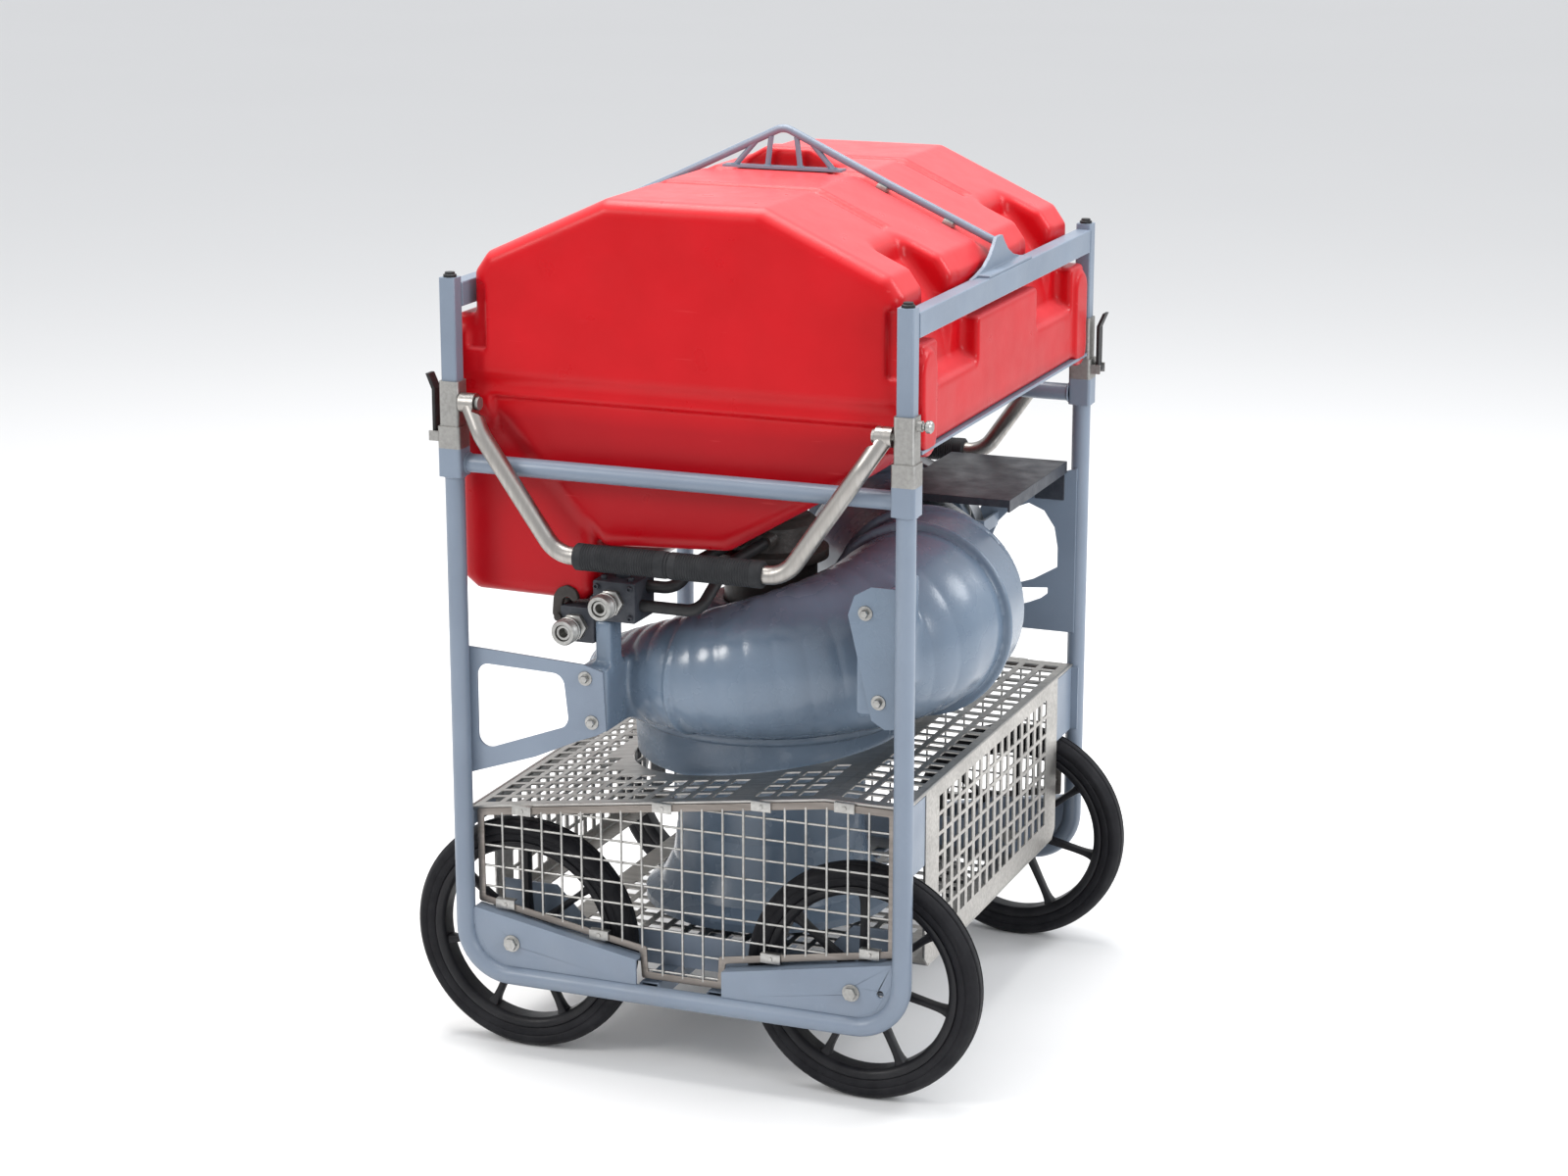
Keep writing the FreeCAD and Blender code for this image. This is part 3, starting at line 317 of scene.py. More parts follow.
def tube(points, radius, sides=20, closed=False):
    """A round bar along a polyline. The radius is one number or one for each point."""
    points = [Vector(p) for p in points]
    count = len(points)
    radii = radius if hasattr(radius, "__len__") else [radius] * count
    vertices, faces = [], []
    side = None
    for k, point in enumerate(points):
        before = points[k - 1] if k or closed else points[0]
        after = points[(k + 1) % count] if k < count - 1 or closed else points[-1]
        heading = (after - before).normalized()
        side = across(heading)[0] if side is None else (side - heading * side.dot(heading)).normalized()
        other = heading.cross(side)
        for i in range(sides):
            angle = 2 * math.pi * i / sides
            vertices.append(point + (side * math.cos(angle) + other * math.sin(angle)) * radii[k])
    for k in range(count if closed else count - 1):
        for i in range(sides):
            a, b = k * sides + i, k * sides + (i + 1) % sides
            c = (k + 1) % count * sides
            faces.append([a, b, c + (i + 1) % sides, c + i])
    if not closed:
        faces.append(list(range(sides))[::-1])
        faces.append([(count - 1) * sides + i for i in range(sides)])
    return vertices, faces


def softened(points, radius, steps=3, closed=True):
    """A 2D outline with each corner cut back and rounded."""
    points = [Vector(p) for p in points]
    count = len(points)
    out = []
    for k, corner in enumerate(points):
        if not closed and k in (0, count - 1):
            out.append(corner)
            continue
        before, after = points[k - 1], points[(k + 1) % count]
        to_before, to_after = before - corner, after - corner
        reach = min(radius, to_before.length * 0.45, to_after.length * 0.45)
        first = corner + to_before.normalized() * reach
        last = corner + to_after.normalized() * reach
        for s in range(steps + 1):
            t = s / steps
            out.append(first * (1 - t) ** 2 + corner * (2 * t * (1 - t)) + last * t ** 2)
    return [tuple(p) for p in out]


def lathe(profile, centre, axis, steps=64, closed=True):
    """A turned piece from (radius, distance along the axis) points."""
    centre, axis = Vector(centre), Vector(axis).normalized()
    side, other = across(axis)
    vertices, faces = [], []
    for radius, along in profile:
        for i in range(steps):
            angle = 2 * math.pi * i / steps
            spoke = side * math.cos(angle) + other * math.sin(angle)
            vertices.append(centre + axis * along + spoke * radius)
    count = len(profile)
    for k in range(count if closed else count - 1):
        for i in range(steps):
            j = (i + 1) % steps
            n = (k + 1) % count * steps
            faces.append([k * steps + i, k * steps + j, n + j, n + i])
    return vertices, faces


def turned(profile, soften, place, axis, steps):
    """A solid turned piece, its profile running from the axis out and back, with softened corners."""
    return lathe(softened(profile, soften, 2, closed=False), place, axis, steps, closed=False)


def flat_plate(outline, holes, thickness, edge, place):
    """A sheet with holes and softened edges. place turns (u, v, w) into a point, w across the sheet."""
    curve = bpy.data.curves.new("outline", "CURVE")
    curve.dimensions = "2D"
    curve.fill_mode = "BOTH"
    curve.extrude = thickness / 2 - edge
    curve.bevel_depth = edge
    curve.bevel_resolution = 2
    curve.offset = -edge
    for loop in [outline] + holes:
        spline = curve.splines.new("POLY")
        spline.points.add(len(loop) - 1)
        for point, (u, v) in zip(spline.points, loop):
            point.co = (u, v, 0, 1)
        spline.use_cyclic_u = True
    holder = placed("outline", curve)
    bpy.context.view_layer.update()
    mesh = bpy.data.meshes.new_from_object(holder.evaluated_get(bpy.context.evaluated_depsgraph_get()))
    vertices = [place(*v.co) for v in mesh.vertices]
    faces = [list(f.vertices) for f in mesh.polygons]
    bpy.data.objects.remove(holder)
    bpy.data.meshes.remove(mesh)
    return vertices, faces


def facing_y(y):
    return lambda u, v, w: (u, y + w, v)


def hex_bolt(place, axis, across_flats, height=None, washer=True):
    """Hexagon head with a chamfered top, on a plain washer."""
    place, axis = Vector(place), Vector(axis).normalized()
    height = height or across_flats * 0.62
    corner = across_flats / math.sqrt(3)
    rise = across_flats * 0.16 if washer else 0.0
    parts = []
    if washer:
        profile = [(0, 0), (across_flats * 0.98, 0), (across_flats * 1.02, rise * 0.3),
                   (across_flats * 0.98, rise), (0, rise)]
        parts.append(lathe(profile, place, axis, 28, closed=False))
    base = place + axis * rise
    rings = [(0, 0), (corner, 0), (corner, height * 0.82), (corner * 0.86, height),
             (corner * 0.5, height * 1.02), (0, height * 1.02)]
    parts.append(lathe(rings, base, axis, 6, closed=False))
    return joined(parts)


def socket_screw(place, axis, size):
    """Round head with a hexagon socket sunk in it."""
    profile = [(0, 0), (size, 0), (size, size * 1.05), (size * 0.9, size * 1.2), (size * 0.55, size * 1.2)]
    head = lathe(profile, place, axis, 24, closed=False)
    sunk = [(size * 0.55, size * 1.2), (size * 0.5, size * 0.5), (0, size * 0.5)]
    return joined([head, lathe(sunk, place, axis, 24, closed=False)])


def weld_bead(points, size, closed=False):
    """A ripple-backed weld along a polyline."""
    points = [Vector(p) for p in points]
    if closed:
        points.append(points[0])
    step = size * 0.45
    line, radii = [], []
    travelled = 0.0
    for start, end in zip(points, points[1:]):
        run = (end - start).length
        count = max(1, round(run / step))
        for k in range(count):
            line.append(start + (end - start) * (k / count))
            travelled += run / count
            radii.append(size * (0.80 + 0.20 * abs(math.sin(travelled / size * 1.5))))
    if closed:
        return tube(line, radii, 8, closed=True)
    line.append(points[-1])
    radii[0] = size * 0.5
    radii.append(size * 0.5)
    return tube(line, radii, 8)


def circle(centre, axis, radius, count):
    side, other = across(axis)
    out = []
    for k in range(count):
        angle = math.radians(360.0 * k / count)
        out.append(Vector(centre) + (side * math.cos(angle) + other * math.sin(angle)) * radius)
    return out


def ring_weld(centre, axis, radius, count, size):
    return weld_bead(circle(centre, axis, radius, count), size, closed=True)


def block(low, high, edge):
    """A box with rounded edges."""
    made = bmesh.new()
    size = Vector(high) - Vector(low)
    centre = (Vector(high) + Vector(low)) / 2
    bmesh.ops.create_cube(made, size=1.0, matrix=Matrix.Translation(centre) @ Matrix.Diagonal((*size, 1)))
    bmesh.ops.bevel(made, geom=made.edges[:], offset=edge, segments=2, affect="EDGES", profile=0.5)
    vertices = [v.co.copy() for v in made.verts]
    faces = [[v.index for v in f.verts] for f in made.faces]
    made.free()
    return vertices, faces


# ---- moulded and cast shapes

def shrunk(outline, margin):
    """An anticlockwise outline moved inwards, corner by corner."""
    out = []
    count = len(outline)
    for k in range(count):
        before, corner, after = (Vector(outline[(k + i) % count]) for i in (-1, 0, 1))
        first, second = (corner - before).normalized(), (after - corner).normalized()
        inward = Vector((-first.y, first.x)) + Vector((-second.y, second.x))
        scale = margin / max(0.25, inward.length_squared / 2)
        out.append(tuple(corner + inward * scale))
    return out


def outline_distance(u, v, outline, corner=0.0):
    """Signed distance from an anticlockwise outline, negative inside, with rounded corners."""
    if corner:
        outline = shrunk(outline, corner)
    shape = np.broadcast_shapes(u.shape, v.shape)
    nearest = np.full(shape, 1e9)
    inside = np.zeros(shape, bool)
    for (ax, ay), (bx, by) in zip(outline, outline[1:] + outline[:1]):
        ex, ey = bx - ax, by - ay
        t = np.clip(((u - ax) * ex + (v - ay) * ey) / (ex * ex + ey * ey), 0, 1)
        nearest = np.minimum(nearest, np.hypot(u - ax - t * ex, v - ay - t * ey))
        if ay != by:
            inside ^= ((ay > v) != (by > v)) & (u < ex * (v - ay) / ey + ax)
    return np.where(inside, -nearest, nearest) - corner


def slab(profile, across_it, half, edge):
    """A profile's distance made solid: half as thick as stated each way, with rounded rims."""
    a, b = profile + edge, np.abs(across_it) - half + edge
    return np.minimum(np.maximum(a, b), 0) + np.hypot(np.maximum(a, 0), np.maximum(b, 0)) - edge


def cuboid(x, y, z, half_x, half_y, half_z, edge):
    a, b, c = np.abs(x) - half_x + edge, np.abs(y) - half_y + edge, np.abs(z) - half_z + edge
    outside = np.sqrt(np.maximum(a, 0) ** 2 + np.maximum(b, 0) ** 2 + np.maximum(c, 0) ** 2)
    return outside + np.minimum(np.maximum(np.maximum(a, b), c), 0) - edge


def blended(a, b, width):
    """The union of two shapes with a fillet."""
    h = np.clip(0.5 + (b - a) / (2 * width), 0, 1)
    return b + (a - b) * h - width * h * (1 - h)


def carved(a, b, width):
    """Shape a with b cut away, the edge rounded."""
    return -blended(-a, b, width)


EVENING_ROUNDS = 2
SETTLING_STEPS = 3
LONGEST_MOVE = 3.0
CELL_CORNERS = [(i, j, k) for i in (0, 1) for j in (0, 1) for k in (0, 1)]


def nets(distance, low, high, cell):
    """A quad mesh on the zero surface of a distance function."""
    axes = [np.arange(a, b + cell, cell) for a, b in zip(low, high)]
    grids = np.meshgrid(*axes, indexing="ij", sparse=True)
    field = np.asarray(distance(*grids), np.float32)
    solid = field < 0
    cells, number = crossed_cells(solid)
    points = np.array(low) + (cells + crossing_middles(field, cells)) * cell
    quads = cell_quads(solid, number)
    for turn in range(EVENING_ROUNDS + 1):
        if turn:
            points = evened(points, quads)
        for _ in range(SETTLING_STEPS):
            points = settled(points, distance, cell * 0.2)
    return points, quads.tolist()


def crossed_cells(solid):
    """The grid cells that the surface passes through, and a grid of their numbers."""
    count = np.zeros([n - 1 for n in solid.shape], np.int8)
    for i, j, k in CELL_CORNERS:
        count += solid[i:i + count.shape[0], j:j + count.shape[1], k:k + count.shape[2]]
    cells = np.argwhere((count > 0) & (count < 8))
    number = np.full(count.shape, -1, np.int64)
    number[tuple(cells.T)] = np.arange(len(cells))
    return cells, number


def crossing_middles(field, cells):
    """The middle, within each cell, of the points where the surface cuts its edges."""
    total, hits = np.zeros((len(cells), 3)), np.zeros(len(cells))
    for first in CELL_CORNERS:
        for axis in range(3):
            if first[axis]:
                continue
            second = list(first)
            second[axis] = 1
            a = field[tuple((cells + first).T)]
            b = field[tuple((cells + second).T)]
            crossing = (a < 0) != (b < 0)
            share = np.where(crossing, a / np.where(crossing, a - b, 1), 0)
            point = np.array(first, float) + share[:, None] * (np.array(second) - np.array(first))
            total += point * crossing[:, None]
            hits += crossing
    return total / hits[:, None]


def cell_quads(solid, number):
    """One quad round each grid edge that the surface cuts, facing outwards."""
    quads = []
    for axis in range(3):
        b, c = (axis + 1) % 3, (axis + 2) % 3
        here = [slice(None)] * 3
        there = [slice(None)] * 3
        here[axis], there[axis] = slice(0, -1), slice(1, None)
        edges = np.argwhere(solid[tuple(here)] != solid[tuple(there)])
        edges = edges[(edges[:, b] > 0) & (edges[:, c] > 0)]
        ring = []
        for back_b, back_c in ((1, 1), (0, 1), (0, 0), (1, 0)):
            place = edges.copy()
            place[:, b] -= back_b
            place[:, c] -= back_c
            ring.append(number[tuple(place.T)])
        ring = np.stack(ring, 1)
        outward = solid[tuple(edges.T)]
        quads.append(np.where(outward[:, None], ring, ring[:, ::-1]))
    return np.concatenate(quads)


def evened(points, quads):
    """Each vertex moved half way to the middle of the faces round it."""
    centres = points[quads].mean(1)
    total = np.zeros_like(points)
    for k in range(4):
        for axis in range(3):
            total[:, axis] += np.bincount(quads[:, k], centres[:, axis], len(points))
    count = np.bincount(quads.ravel(), minlength=len(points))
    return points + (total / count[:, None] - points) * 0.5


def settled(points, distance, step):
    """Vertices moved along the slope onto the zero surface."""
    here = distance(*points.T)
    slope = []
    for axis in range(3):
        shifted = points.copy()
        shifted[:, axis] += step
        slope.append((distance(*shifted.T) - here) / step)
    slope = np.stack(slope, 1)
    size = np.maximum((slope ** 2).sum(1), 0.2)
    move = slope * (here / size)[:, None]
    length = np.linalg.norm(move, axis=1, keepdims=True)
    return points - move * np.minimum(1, LONGEST_MOVE / np.maximum(length, 1e-9))


# ---- float

FLOAT_LOW, FLOAT_HIGH = box_mm("float_shell")
FLOAT_FRONT = FLOAT_HIGH.y
FLOAT_TOP = FLOAT_HIGH.z
LEDGE_X = FLOAT_HIGH.x
WALL_X = 276.0
SEAM_Z = 842.0
SHOULDER_X = 100.0
FLOAT_OUTLINE = [(-112, 661), (50, 669), (229, 775), (266, 822), (274, 842), (273, 990), (256, 1014),
                 (SHOULDER_X, FLOAT_TOP), (-SHOULDER_X, FLOAT_TOP), (-256, 1014), (-273, 990), (-274, 842),
                 (-266, 822), (-214, 773)]
LOBE_OUTLINE = [(FLOAT_LOW.x, 606), (-284, 592), (-140, FLOAT_LOW.z), (-125, 604), (-125, 700), (-214, 830),
                (FLOAT_LOW.x, 830)]
BOSS_OUTLINE = [(-74, 1070), (74, 1070), (66, 1092), (30, 1112), (-30, 1112), (-66, 1092)]
POCKET_OUTLINE = [(196, 1090), (212, 1010), (258, 955), (276, 896), (340, 884), (340, 1090)]


def float_distance(x, y, z):
    """The float's body, side ledges with ribs, left lobe, waist groove, corner pockets and notches."""
    ax, ay = np.abs(x), np.abs(y)
    setback = 11.0 * np.clip((SEAM_Z + 3 - z) / 9, 0, 1)
    body = slab(outline_distance(x, z, FLOAT_OUTLINE, 14.0), ay + setback, FLOAT_FRONT, 20.0)
    ledge = cuboid(ax - WALL_X, ay, z - 877, LEDGE_X - 4.5 - WALL_X, 320, 61, 6.0)
    shape = blended(body, ledge, 6.0)
    rib = np.hypot(ay - 302, z - np.clip(z, 830, 905)) - 26.0
    shape = blended(shape, slab(rib, ax - WALL_X, LEDGE_X - WALL_X, 6.0), 3.0)
    lobe = slab(outline_distance(x, z, LOBE_OUTLINE, 10.0), ay, 315.0, 16.0)
    shape = blended(shape, lobe, 12.0)
    waist = np.hypot(ay - FLOAT_FRONT - 4, (z - SEAM_Z - 12) / 1.5) - 9.5
    shape = carved(shape, waist, 4.0)
    pocket = slab(outline_distance(ax, z, POCKET_OUTLINE, 8.0), ay - 199, 46.0, 14.0)
    shape = carved(shape, pocket, 13.0)
    slope = np.maximum(0, ax - WALL_X) * 0.55
    notch = cuboid(ax - 302, ay - 192, z - 946 + slope, 28, 74, 52, 9.0)
    shape = carved(shape, notch, 6.0)
    corner_step = cuboid(ax - 268, ay - 334, z - 937, 12, 12, 40, 3.0)
    shape = carved(shape, corner_step, 5.0)
    return float_top_details(shape, x, y, z)


def float_top_details(shape, x, y, z):
    """Bow channel, raised boss under its apex and the stiffening grooves over the shoulders."""
    ax, ay = np.abs(x), np.abs(y)
    crest = FLOAT_TOP - 0.455 * np.maximum(ax - SHOULDER_X, 0)
    groove = np.hypot((ay - 152) / 1.5, z - crest - 1.0) - 8.5
    groove = np.maximum(groove, ax - 190)
    shape = carved(shape, groove, 2.5)
    channel = np.maximum(np.hypot(ay / 1.5, z - crest - 4) - 11.0, ax - 262)
    channel = np.maximum(channel, 64 - ax)
    shape = carved(shape, channel, 4.0)
    boss = slab(outline_distance(x, z, BOSS_OUTLINE, 8.0), y - 30, 20.0, 9.0)
    return blended(shape, boss, 6.0)


def make_float():
    low = (FLOAT_LOW.x - 6, FLOAT_LOW.y - 6, FLOAT_LOW.z - 6)
    high = (LEDGE_X + 6, FLOAT_FRONT + 6, FLOAT_TOP + 32)
    cell = 4.2
    shape = nets(float_distance, low, high, cell)
    add_piece("float_moulding", shape, "float_red", replaces=("float_shell",), sharp=60, weld=False)
    plugs = []
    for x, z in ((-60, 690), (0, 1040)):
        profile = [(0, 0), (18, 0), (18, 6), (14, 8), (0, 8)]
        plugs.append(turned(profile, 1.2, (x, FLOAT_FRONT - 3, z), Y, 40))
        plugs.append(hex_bolt((x, FLOAT_FRONT + 4.5, z), Y, 17, 6, washer=False))
    add_piece("float_drain_plugs", joined(plugs), "dark_plastic", replaces=("float_plugs",))


# ---- pump casing

PUMP = middle_mm("pump_shaft")
BASE_R = half_mm("pump_base").x
BASE_TOP = box_mm("pump_base")[1].z
OUTLET = middle_mm("discharge_pipe") - Y * half_mm("discharge_pipe").y
OUTLET_R = 108.0
OUTLET_BOLT_R = 115.0
NOSE_TURN, FULL_TURN = 205, 352
NOSE_R, FULL_R = 34.0, 115.0
NOSE_REACH, FULL_REACH = 236.0, 313.0


def scroll_station(turn):
    """Centre and radius of the scroll at an angle in degrees, 360 being the outlet side."""
    grow = min(1.0, (turn - NOSE_TURN) / (FULL_TURN - NOSE_TURN))
    radius = NOSE_R + (FULL_R - NOSE_R) * grow ** 0.75
    outer = NOSE_REACH + (FULL_REACH - NOSE_REACH) * grow ** 1.3
    angle = math.radians(turn)
    out = Vector((math.cos(angle), math.sin(angle), 0))
    return Vector((0, PUMP.y, BASE_TOP + 2.0 + 8.0 * grow + radius)) + out * (outer - radius), radius


def outlet_station(t):
    """The scroll's last stretch: an easy S from the outlet side to the outlet flange."""
    start, radius = scroll_station(360)
    points = [start, start + Vector((0, 150, 2)), OUTLET - Vector((0, 70, 0)), OUTLET]
    weights = [(1 - t) ** 3, 3 * t * (1 - t) ** 2, 3 * t * t * (1 - t), t ** 3]
    centre = sum((p * w for p, w in zip(points, weights)), Vector())
    return centre, radius + (OUTLET_R - radius) * t


def scroll_line():
    stations = [scroll_station(turn) for turn in range(NOSE_TURN, 360, 8)]
    return stations + [outlet_station(k / 10) for k in range(11)]


SCROLL = scroll_line()


def scroll_distance(x, y, z):
    shape = np.full(np.broadcast_shapes(x.shape, y.shape, z.shape), 1e9)
    for (a, ra), (b, rb) in zip(SCROLL, SCROLL[1:]):
        run = b - a
        t = np.clip(((x - a.x) * run.x + (y - a.y) * run.y + (z - a.z) * run.z) / run.length_squared, 0, 1)
        far = np.sqrt((x - a.x - t * run.x) ** 2 + (y - a.y - t * run.y) ** 2 + (z - a.z - t * run.z) ** 2)
        shape = np.minimum(shape, far - ra - t * (rb - ra))
    return shape


def flange_ring(x, y, z, station, heading, rise, half):
    """A raised joint ring round the scroll, square to its heading."""
    centre, radius = station
    heading = Vector(heading).normalized()
    along = (x - centre.x) * heading.x + (y - centre.y) * heading.y + (z - centre.z) * heading.z
    far = np.sqrt((x - centre.x) ** 2 + (y - centre.y) ** 2 + (z - centre.z) ** 2 - along ** 2)
    return slab(far - radius - rise, along, half, 2.5)


CROWN_OUTLINE = [(-50, BASE_TOP), (BASE_R, BASE_TOP), (BASE_R, 428), (172, 462), (140, 500), (104, 528),
                 (80, 545), (-50, 545)]
# Each ring: its station on the scroll, its heading, its rise and half its width.
RINGS = (
    (scroll_station(360), (0.0, 1.0, 0.0), 11.0, 4.5),
    (outlet_station(0.10), (-0.05, 1.0, 0.0), 6.0, 38.0),
    (outlet_station(0.20), (-0.10, 1.0, 0.0), 12.5, 5.0),
    (scroll_station(262), (1.0, -0.15, 0.0), 3.0, 3.0),
)


def casing_distance(x, y, z):
    """The casing from outside: a closed body, with no room inside for the rotor."""
    shape = scroll_distance(x, y, z)
    shape = np.maximum(shape, y - OUTLET.y)
    around = np.hypot(x, y - PUMP.y)
    shape = blended(shape, outline_distance(around, z, CROWN_OUTLINE, 5.0), 16.0)
    for station, heading, rise, half in RINGS:
        shape = blended(shape, flange_ring(x, y, z, station, heading, rise, half), 2.0)
    lug_left = cuboid(x + 117, y + 279, z - 475, 19.0, 57, 41, 6)
    shape = blended(shape, lug_left, 12.0)
    foot = cuboid(x + 110, y + 303, z - 540, 10.5, 18.5, 31, 5)
    shape = blended(shape, foot, 9.0)
    pad = cuboid(x - 246, y + 331, z - 567, 22.0, 5.0, 73, 4)
    rib = cuboid(x - 246, y + 262, z - 567, 6.0, 72, 67, 5)
    shape = blended(shape, np.minimum(pad, rib), 9.0)
    seat = slab(around - 60, z - 560, 60.0, 1.0)
    return carved(shape, seat, 1.5)


def make_casing():
    low, high = box_mm("volute_casing")
    below, above = Vector((8, 8, 8)), Vector((12, 8, 12))
    cell = 3.4
    shape = nets(casing_distance, tuple(low - below), tuple(high + above), cell)
    add_piece("volute_casting", shape, "pump_paint", replaces=("volute_casing",), sharp=60, weld=False)
    nuts, ring_r = [], BASE_R - 13
    for k in range(10):
        angle = math.radians(36 * k + 12)
        place = Vector((0, PUMP.y, BASE_TOP + 1)) + Vector((math.cos(angle), math.sin(angle), 0)) * ring_r
        nuts.append(hex_bolt(place, Z, 12, 7))
    add_piece("casing_nuts", joined(nuts), "zinc_fastener")


# ---- wheels

SPOKES = 7
SPOKE_SIDES = 16


def make_wheel(name):
    body = "wheel_" + name + "_body"
    centre = middle_mm("tyre_" + name)
    radius, half = half_mm("tyre_" + name).z, half_mm("tyre_" + name).y
    rim = half_mm("wheel_" + name).z
    tread = [(rim - 1, half - 4), (rim + 5, half - 1.5), (rim + 9, half - 1.2), (rim + 10, half - 2.4),
             (rim + 12, half - 1.0), (radius - 8, half), (radius - 2.5, half - 6), (radius - 0.4, 8.4),
             (radius - 2.6, 7.2), (radius - 2.6, 5.6), (radius - 0.1, 4.4)]
    profile = tread + [(r, -h) for r, h in reversed(tread)]
    tyre_shape = lathe(softened(profile, 4.0, 3), centre, Y, 120)
    add_piece("tyre_" + name + "_moulded", tyre_shape, "tyre", body, ("tyre_" + name,))
    well = [(rim - 0.5, half - 2.6), (rim - 4, half - 2.2), (rim - 9, half - 4), (rim - 12.5, half - 8),
            (rim - 12.5, -half + 8), (rim - 9, -half + 4), (rim - 4, -half + 2.2), (rim - 0.5, -half + 2.6)]
    parts = [lathe(softened(well, 2.0, 3), centre, Y, 120)]
    bore = 8.3
    hub = [(bore, -20), (14, -20), (16, -18), (19, -12), (17.5, -6), (17.5, 6), (19, 12), (16, 18), (14, 20),
           (bore, 20)]
    parts.append(lathe(softened(hub, 1.6, 3), centre, Y, 48))
    for k in range(SPOKES):
        parts.append(spoke(centre, 17.0, rim - 11.5, 360.0 * k / SPOKES + 90))
    add_piece("wheel_" + name + "_spoked", joined(parts), "wheel_plastic", body, ("wheel_" + name,))


def spoke(centre, inner, outer, angle):
    """A tapered oval spoke that flares into the hub and the rim."""
    turn = math.radians(angle)
    out = Vector((math.cos(turn), 0, math.sin(turn)))
    side = Vector((-math.sin(turn), 0, math.cos(turn)))
    stations = 14
    vertices, faces = [], []
    for k in range(stations + 1):
        t = k / stations
        flare = 3.2 * math.exp(-t * 9) + 3.6 * math.exp(-(1 - t) * 12)
        wide, deep = 5.4 - 1.6 * t + flare, 7.5 - 1.4 * t + flare
        for i in range(SPOKE_SIDES):
            a = 2 * math.pi * i / SPOKE_SIDES
            square = (abs(math.cos(a)) ** 4 + abs(math.sin(a)) ** 4) ** 0.25
            offset = side * (wide * math.cos(a) / square) + Y * (deep * math.sin(a) / square)
            vertices.append(centre + out * (inner + (outer - inner) * t) + offset)
    for k in range(stations):
        here, there = k * SPOKE_SIDES, (k + 1) * SPOKE_SIDES
        for i in range(SPOKE_SIDES):
            j = (i + 1) % SPOKE_SIDES
            faces.append([here + i, here + j, there + j, there + i])
    faces.append(list(range(SPOKE_SIDES)))
    faces.append([stations * SPOKE_SIDES + i for i in range(SPOKE_SIDES)])
    return vertices, faces


# ---- welded wire panels

def crossings(outline, value, axis):
    """Where the line at value along one axis meets the outline, as sorted pairs."""
    found = []
    for a, b in zip(outline, outline[1:] + outline[:1]):
        if (a[axis] > value) != (b[axis] > value):
            share = (value - a[axis]) / (b[axis] - a[axis])
            found.append(a[1 - axis] + share * (b[1 - axis] - a[1 - axis]))
    found.sort()
    return list(zip(found[::2], found[1::2]))


def deck_height(x):
    """The deck is flat on the right and falls away to the left of its fold."""
    return DECK_Z - DECK_FALL * max(0.0, DECK_FOLD_X - x)


def make_wire_panel(name, side):
    low, high = box_mm(name)
    y = (low.y + high.y) / 2
    reach, top_left = high.x, high.z - DECK_FALL * (DECK_FOLD_X + high.x)
    outline = [(-reach, top_left), (-reach, 196), (-57, 158), (-55, 124), (55, 124), (57, 158), (reach, 196),
               (reach, high.z), (DECK_FOLD_X, high.z)]
    pitch, wire, border = 27.0, 1.5, 9.0
    inner = shrunk(outline, border)
    parts = []
    for i in range(-10, 11):
        for start, end in crossings(inner, i * pitch, 0):
            x, lay = i * pitch, y + side * 0.7
            parts.append(tube([(x, lay, start - 3), (x, lay, end + 3)], wire, 10))
    for k in range(5, 15):
        for start, end in crossings(inner, k * pitch, 1):
            z, lay = k * pitch, y - side * 1.4
            parts.append(tube([(start - 3, lay, z), (end + 3, lay, z)], wire, 10))
    add_piece(name + "_welded", joined(parts), "stainless_wire", replaces=(name,))
    hole, place = softened(inner, 2.0, 3), facing_y(y + side * 0.6)
    strip = flat_plate(softened(outline, 3.0, 3), [hole], 2.4, 0.6, place)
    add_piece(name + "_border", strip, "stainless_wire", look="border_steel")


def make_clips():
    """Folded spring clips over the panel's border."""
    parts = []
    for side in (-1, 1):
        y = side * 340.4
        places = [(x, deck_height(x) - 6.5) for x in (-215, -25, 105, 212)]
        places += [(x, 152.0 + (abs(x) - 57.0) * 0.182 + 10.5) for x in (-240, -112, 117, 245)]
        for x, z in places:
            parts.append(block((x - 13, y - 1.1, z - 6), (x + 13, y + 1.1, z + 6.5), 0.8))
            parts.append(block((x - 13, y - side * 9 - 0.8, z + 5.0), (x + 13, y + 0.8, z + 6.6), 0.6))
            parts.append(lathe([(0, 0), (3.2, 0), (2.8, 1.4), (0, 2.0)], (x, y + side * 0.9, z), Y * side, 20,
                               closed=False))
    add_piece("panel_spring_clips", joined(parts), "stainless_wire", replaces=("panel_clips",))


def make_cage_edges():
    """Rolled rims of the deck and the folded edges of the side panels."""
    parts = []
    low, high = box_mm("deck_panel")
    for sx in (-1, 1):
        x = sx * (high.x - 2.6)
        z = deck_height(x) - 1.2
        parts.append(tube([(x, -high.y + 6, z), (x, high.y - 6, z)], 2.6, 12))
    for sy in (-1, 1):
        y = sy * (high.y - 2.4)
        line = [(x, y, deck_height(x) - 1.4) for x in (low.x + 14, DECK_FOLD_X, high.x - 14)]
        parts.append(tube(line, 2.4, 12))
    for node, sx in (("side_panel_left", -1), ("side_panel_right", 1)):
        low, high = box_mm(node)
        x = sx * (max(abs(low.x), abs(high.x)) - 1.8)
        for sy in (-1, 1):
            y = sy * (high.y - 2.0)
            line = [(x, y, high.z - 4), (x, y, low.z + 15), (x, y - sy * 14, low.z + 1.6)]
            parts.append(tube(bent(line, 5.0, 4), 1.9, 10))
        parts.append(tube([(x, -high.y + 15, low.z + 2.2), (x, high.y - 15, low.z + 2.2)], 2.2, 12))
    add_piece("cage_rolled_edges", joined(parts), "stainless_wire")


# ---- handles

